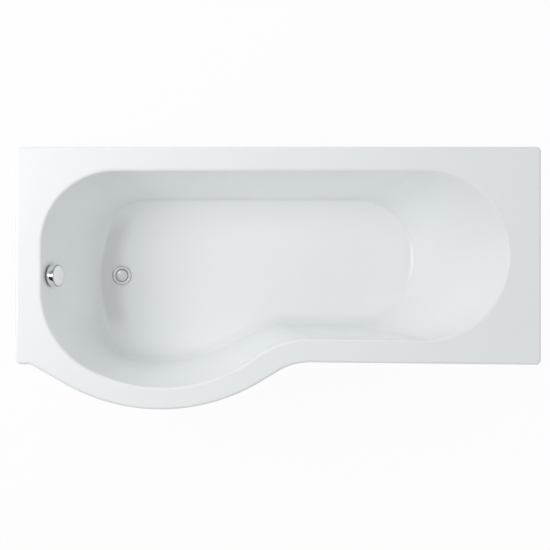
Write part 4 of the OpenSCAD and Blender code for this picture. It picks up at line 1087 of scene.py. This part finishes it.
def makeCamera():
    lens = bpy.data.cameras.new("photoView")
    lens.lens = studio["lens"]
    lens.sensor_width = studio["sensor"]
    camera = linked("photoView", lens)
    camera.location = studio["cameraPlace"]
    bpy.context.scene.camera = camera


def makeLamp(name, place, size, power, aim, tint):
    lamp = bpy.data.lights.new(name, "AREA")
    lamp.shape = "DISK"
    lamp.size = size
    lamp.energy = power
    lamp.color = tint
    holder = linked(name, lamp)
    holder.location = place
    towards = np.array(aim) - np.array(place)
    dip = math.acos(-towards[2] / np.linalg.norm(towards))  # from straight down
    holder.rotation_euler = (0, -dip, math.atan2(towards[1], towards[0]))
    holder.visible_glossy = name == "keyLamp"


# a flat sheet: corners = place +- across +- along
def flatSheet(name, place, across, along):
    place, across, along = (np.array(v) for v in (place, across, along))
    corners = [place + a * across + b * along for a, b in ((-1, -1), (1, -1), (1, 1), (-1, 1))]
    return linked(name, newMesh(name, corners, [(0, 1, 2, 3)]))


# a floor that is white to the camera and keeps a faint shadow
def makeBackdrop():
    size = studio["floorSize"]
    ground = flatSheet("studioFloor", (0, 0, 0), (size, 0, 0), (0, size, 0))
    paint = Paint("studioPaper")
    cloud = paint.noise(studio["paperScale"], 3)
    grey = paint.mix(cloud, studio["paperDark"], studio["paperLight"])
    plain = paint.node("ShaderNodeBsdfDiffuse", None, {"Color": grey})
    bright = paint.node("ShaderNodeEmission", None, {"Color": (1, 1, 1, 1), "Strength": 1.0})
    share = paint.seen() * studio["paperWhite"]
    mixed = paint.node("ShaderNodeMixShader", None, {0: share, 1: plain, 2: bright})
    ground.data.materials.append(paint.finish(mixed))


# an even sky that lights the room at the ambient strength and looks white to the camera
def makeSky():
    paint = Paint("softSky", bpy.data.worlds)
    light = {"Color": studio["skyTint"], "Strength": studio["ambient"]}
    sky = paint.node("ShaderNodeBackground", None, light)
    white = paint.node("ShaderNodeBackground", None, {"Color": (1, 1, 1, 1)})
    mixed = paint.node("ShaderNodeMixShader", None, {0: paint.seen(), 1: sky, 2: white})
    bpy.context.scene.world = paint.finish(mixed, "ShaderNodeOutputWorld")


# a cloth card that only mirrors see, facing the overflow knob
def makeCard(name, place, across, along, tone):
    card = flatSheet(name, place, across, along)
    card.visible_camera = card.visible_diffuse = card.visible_shadow = card.visible_transmission = False
    paint = Paint(name)
    weave = paint.noise(studio["clothScale"], 2)
    cloth = paint.mix(weave, (tone,) * 3, (tone * studio["clothSpread"],) * 3)
    card.data.materials.append(paint.finish(paint.node("ShaderNodeBsdfDiffuse", None, {"Color": cloth})))


makeCamera()
for name, lamp in lamps.items():
    makeLamp(name, *lamp)
makeBackdrop()
makeSky()
for name, card in cards.items():
    makeCard(name, *card)
bpy.context.scene.view_settings.view_transform = "Standard"
print("studio made")
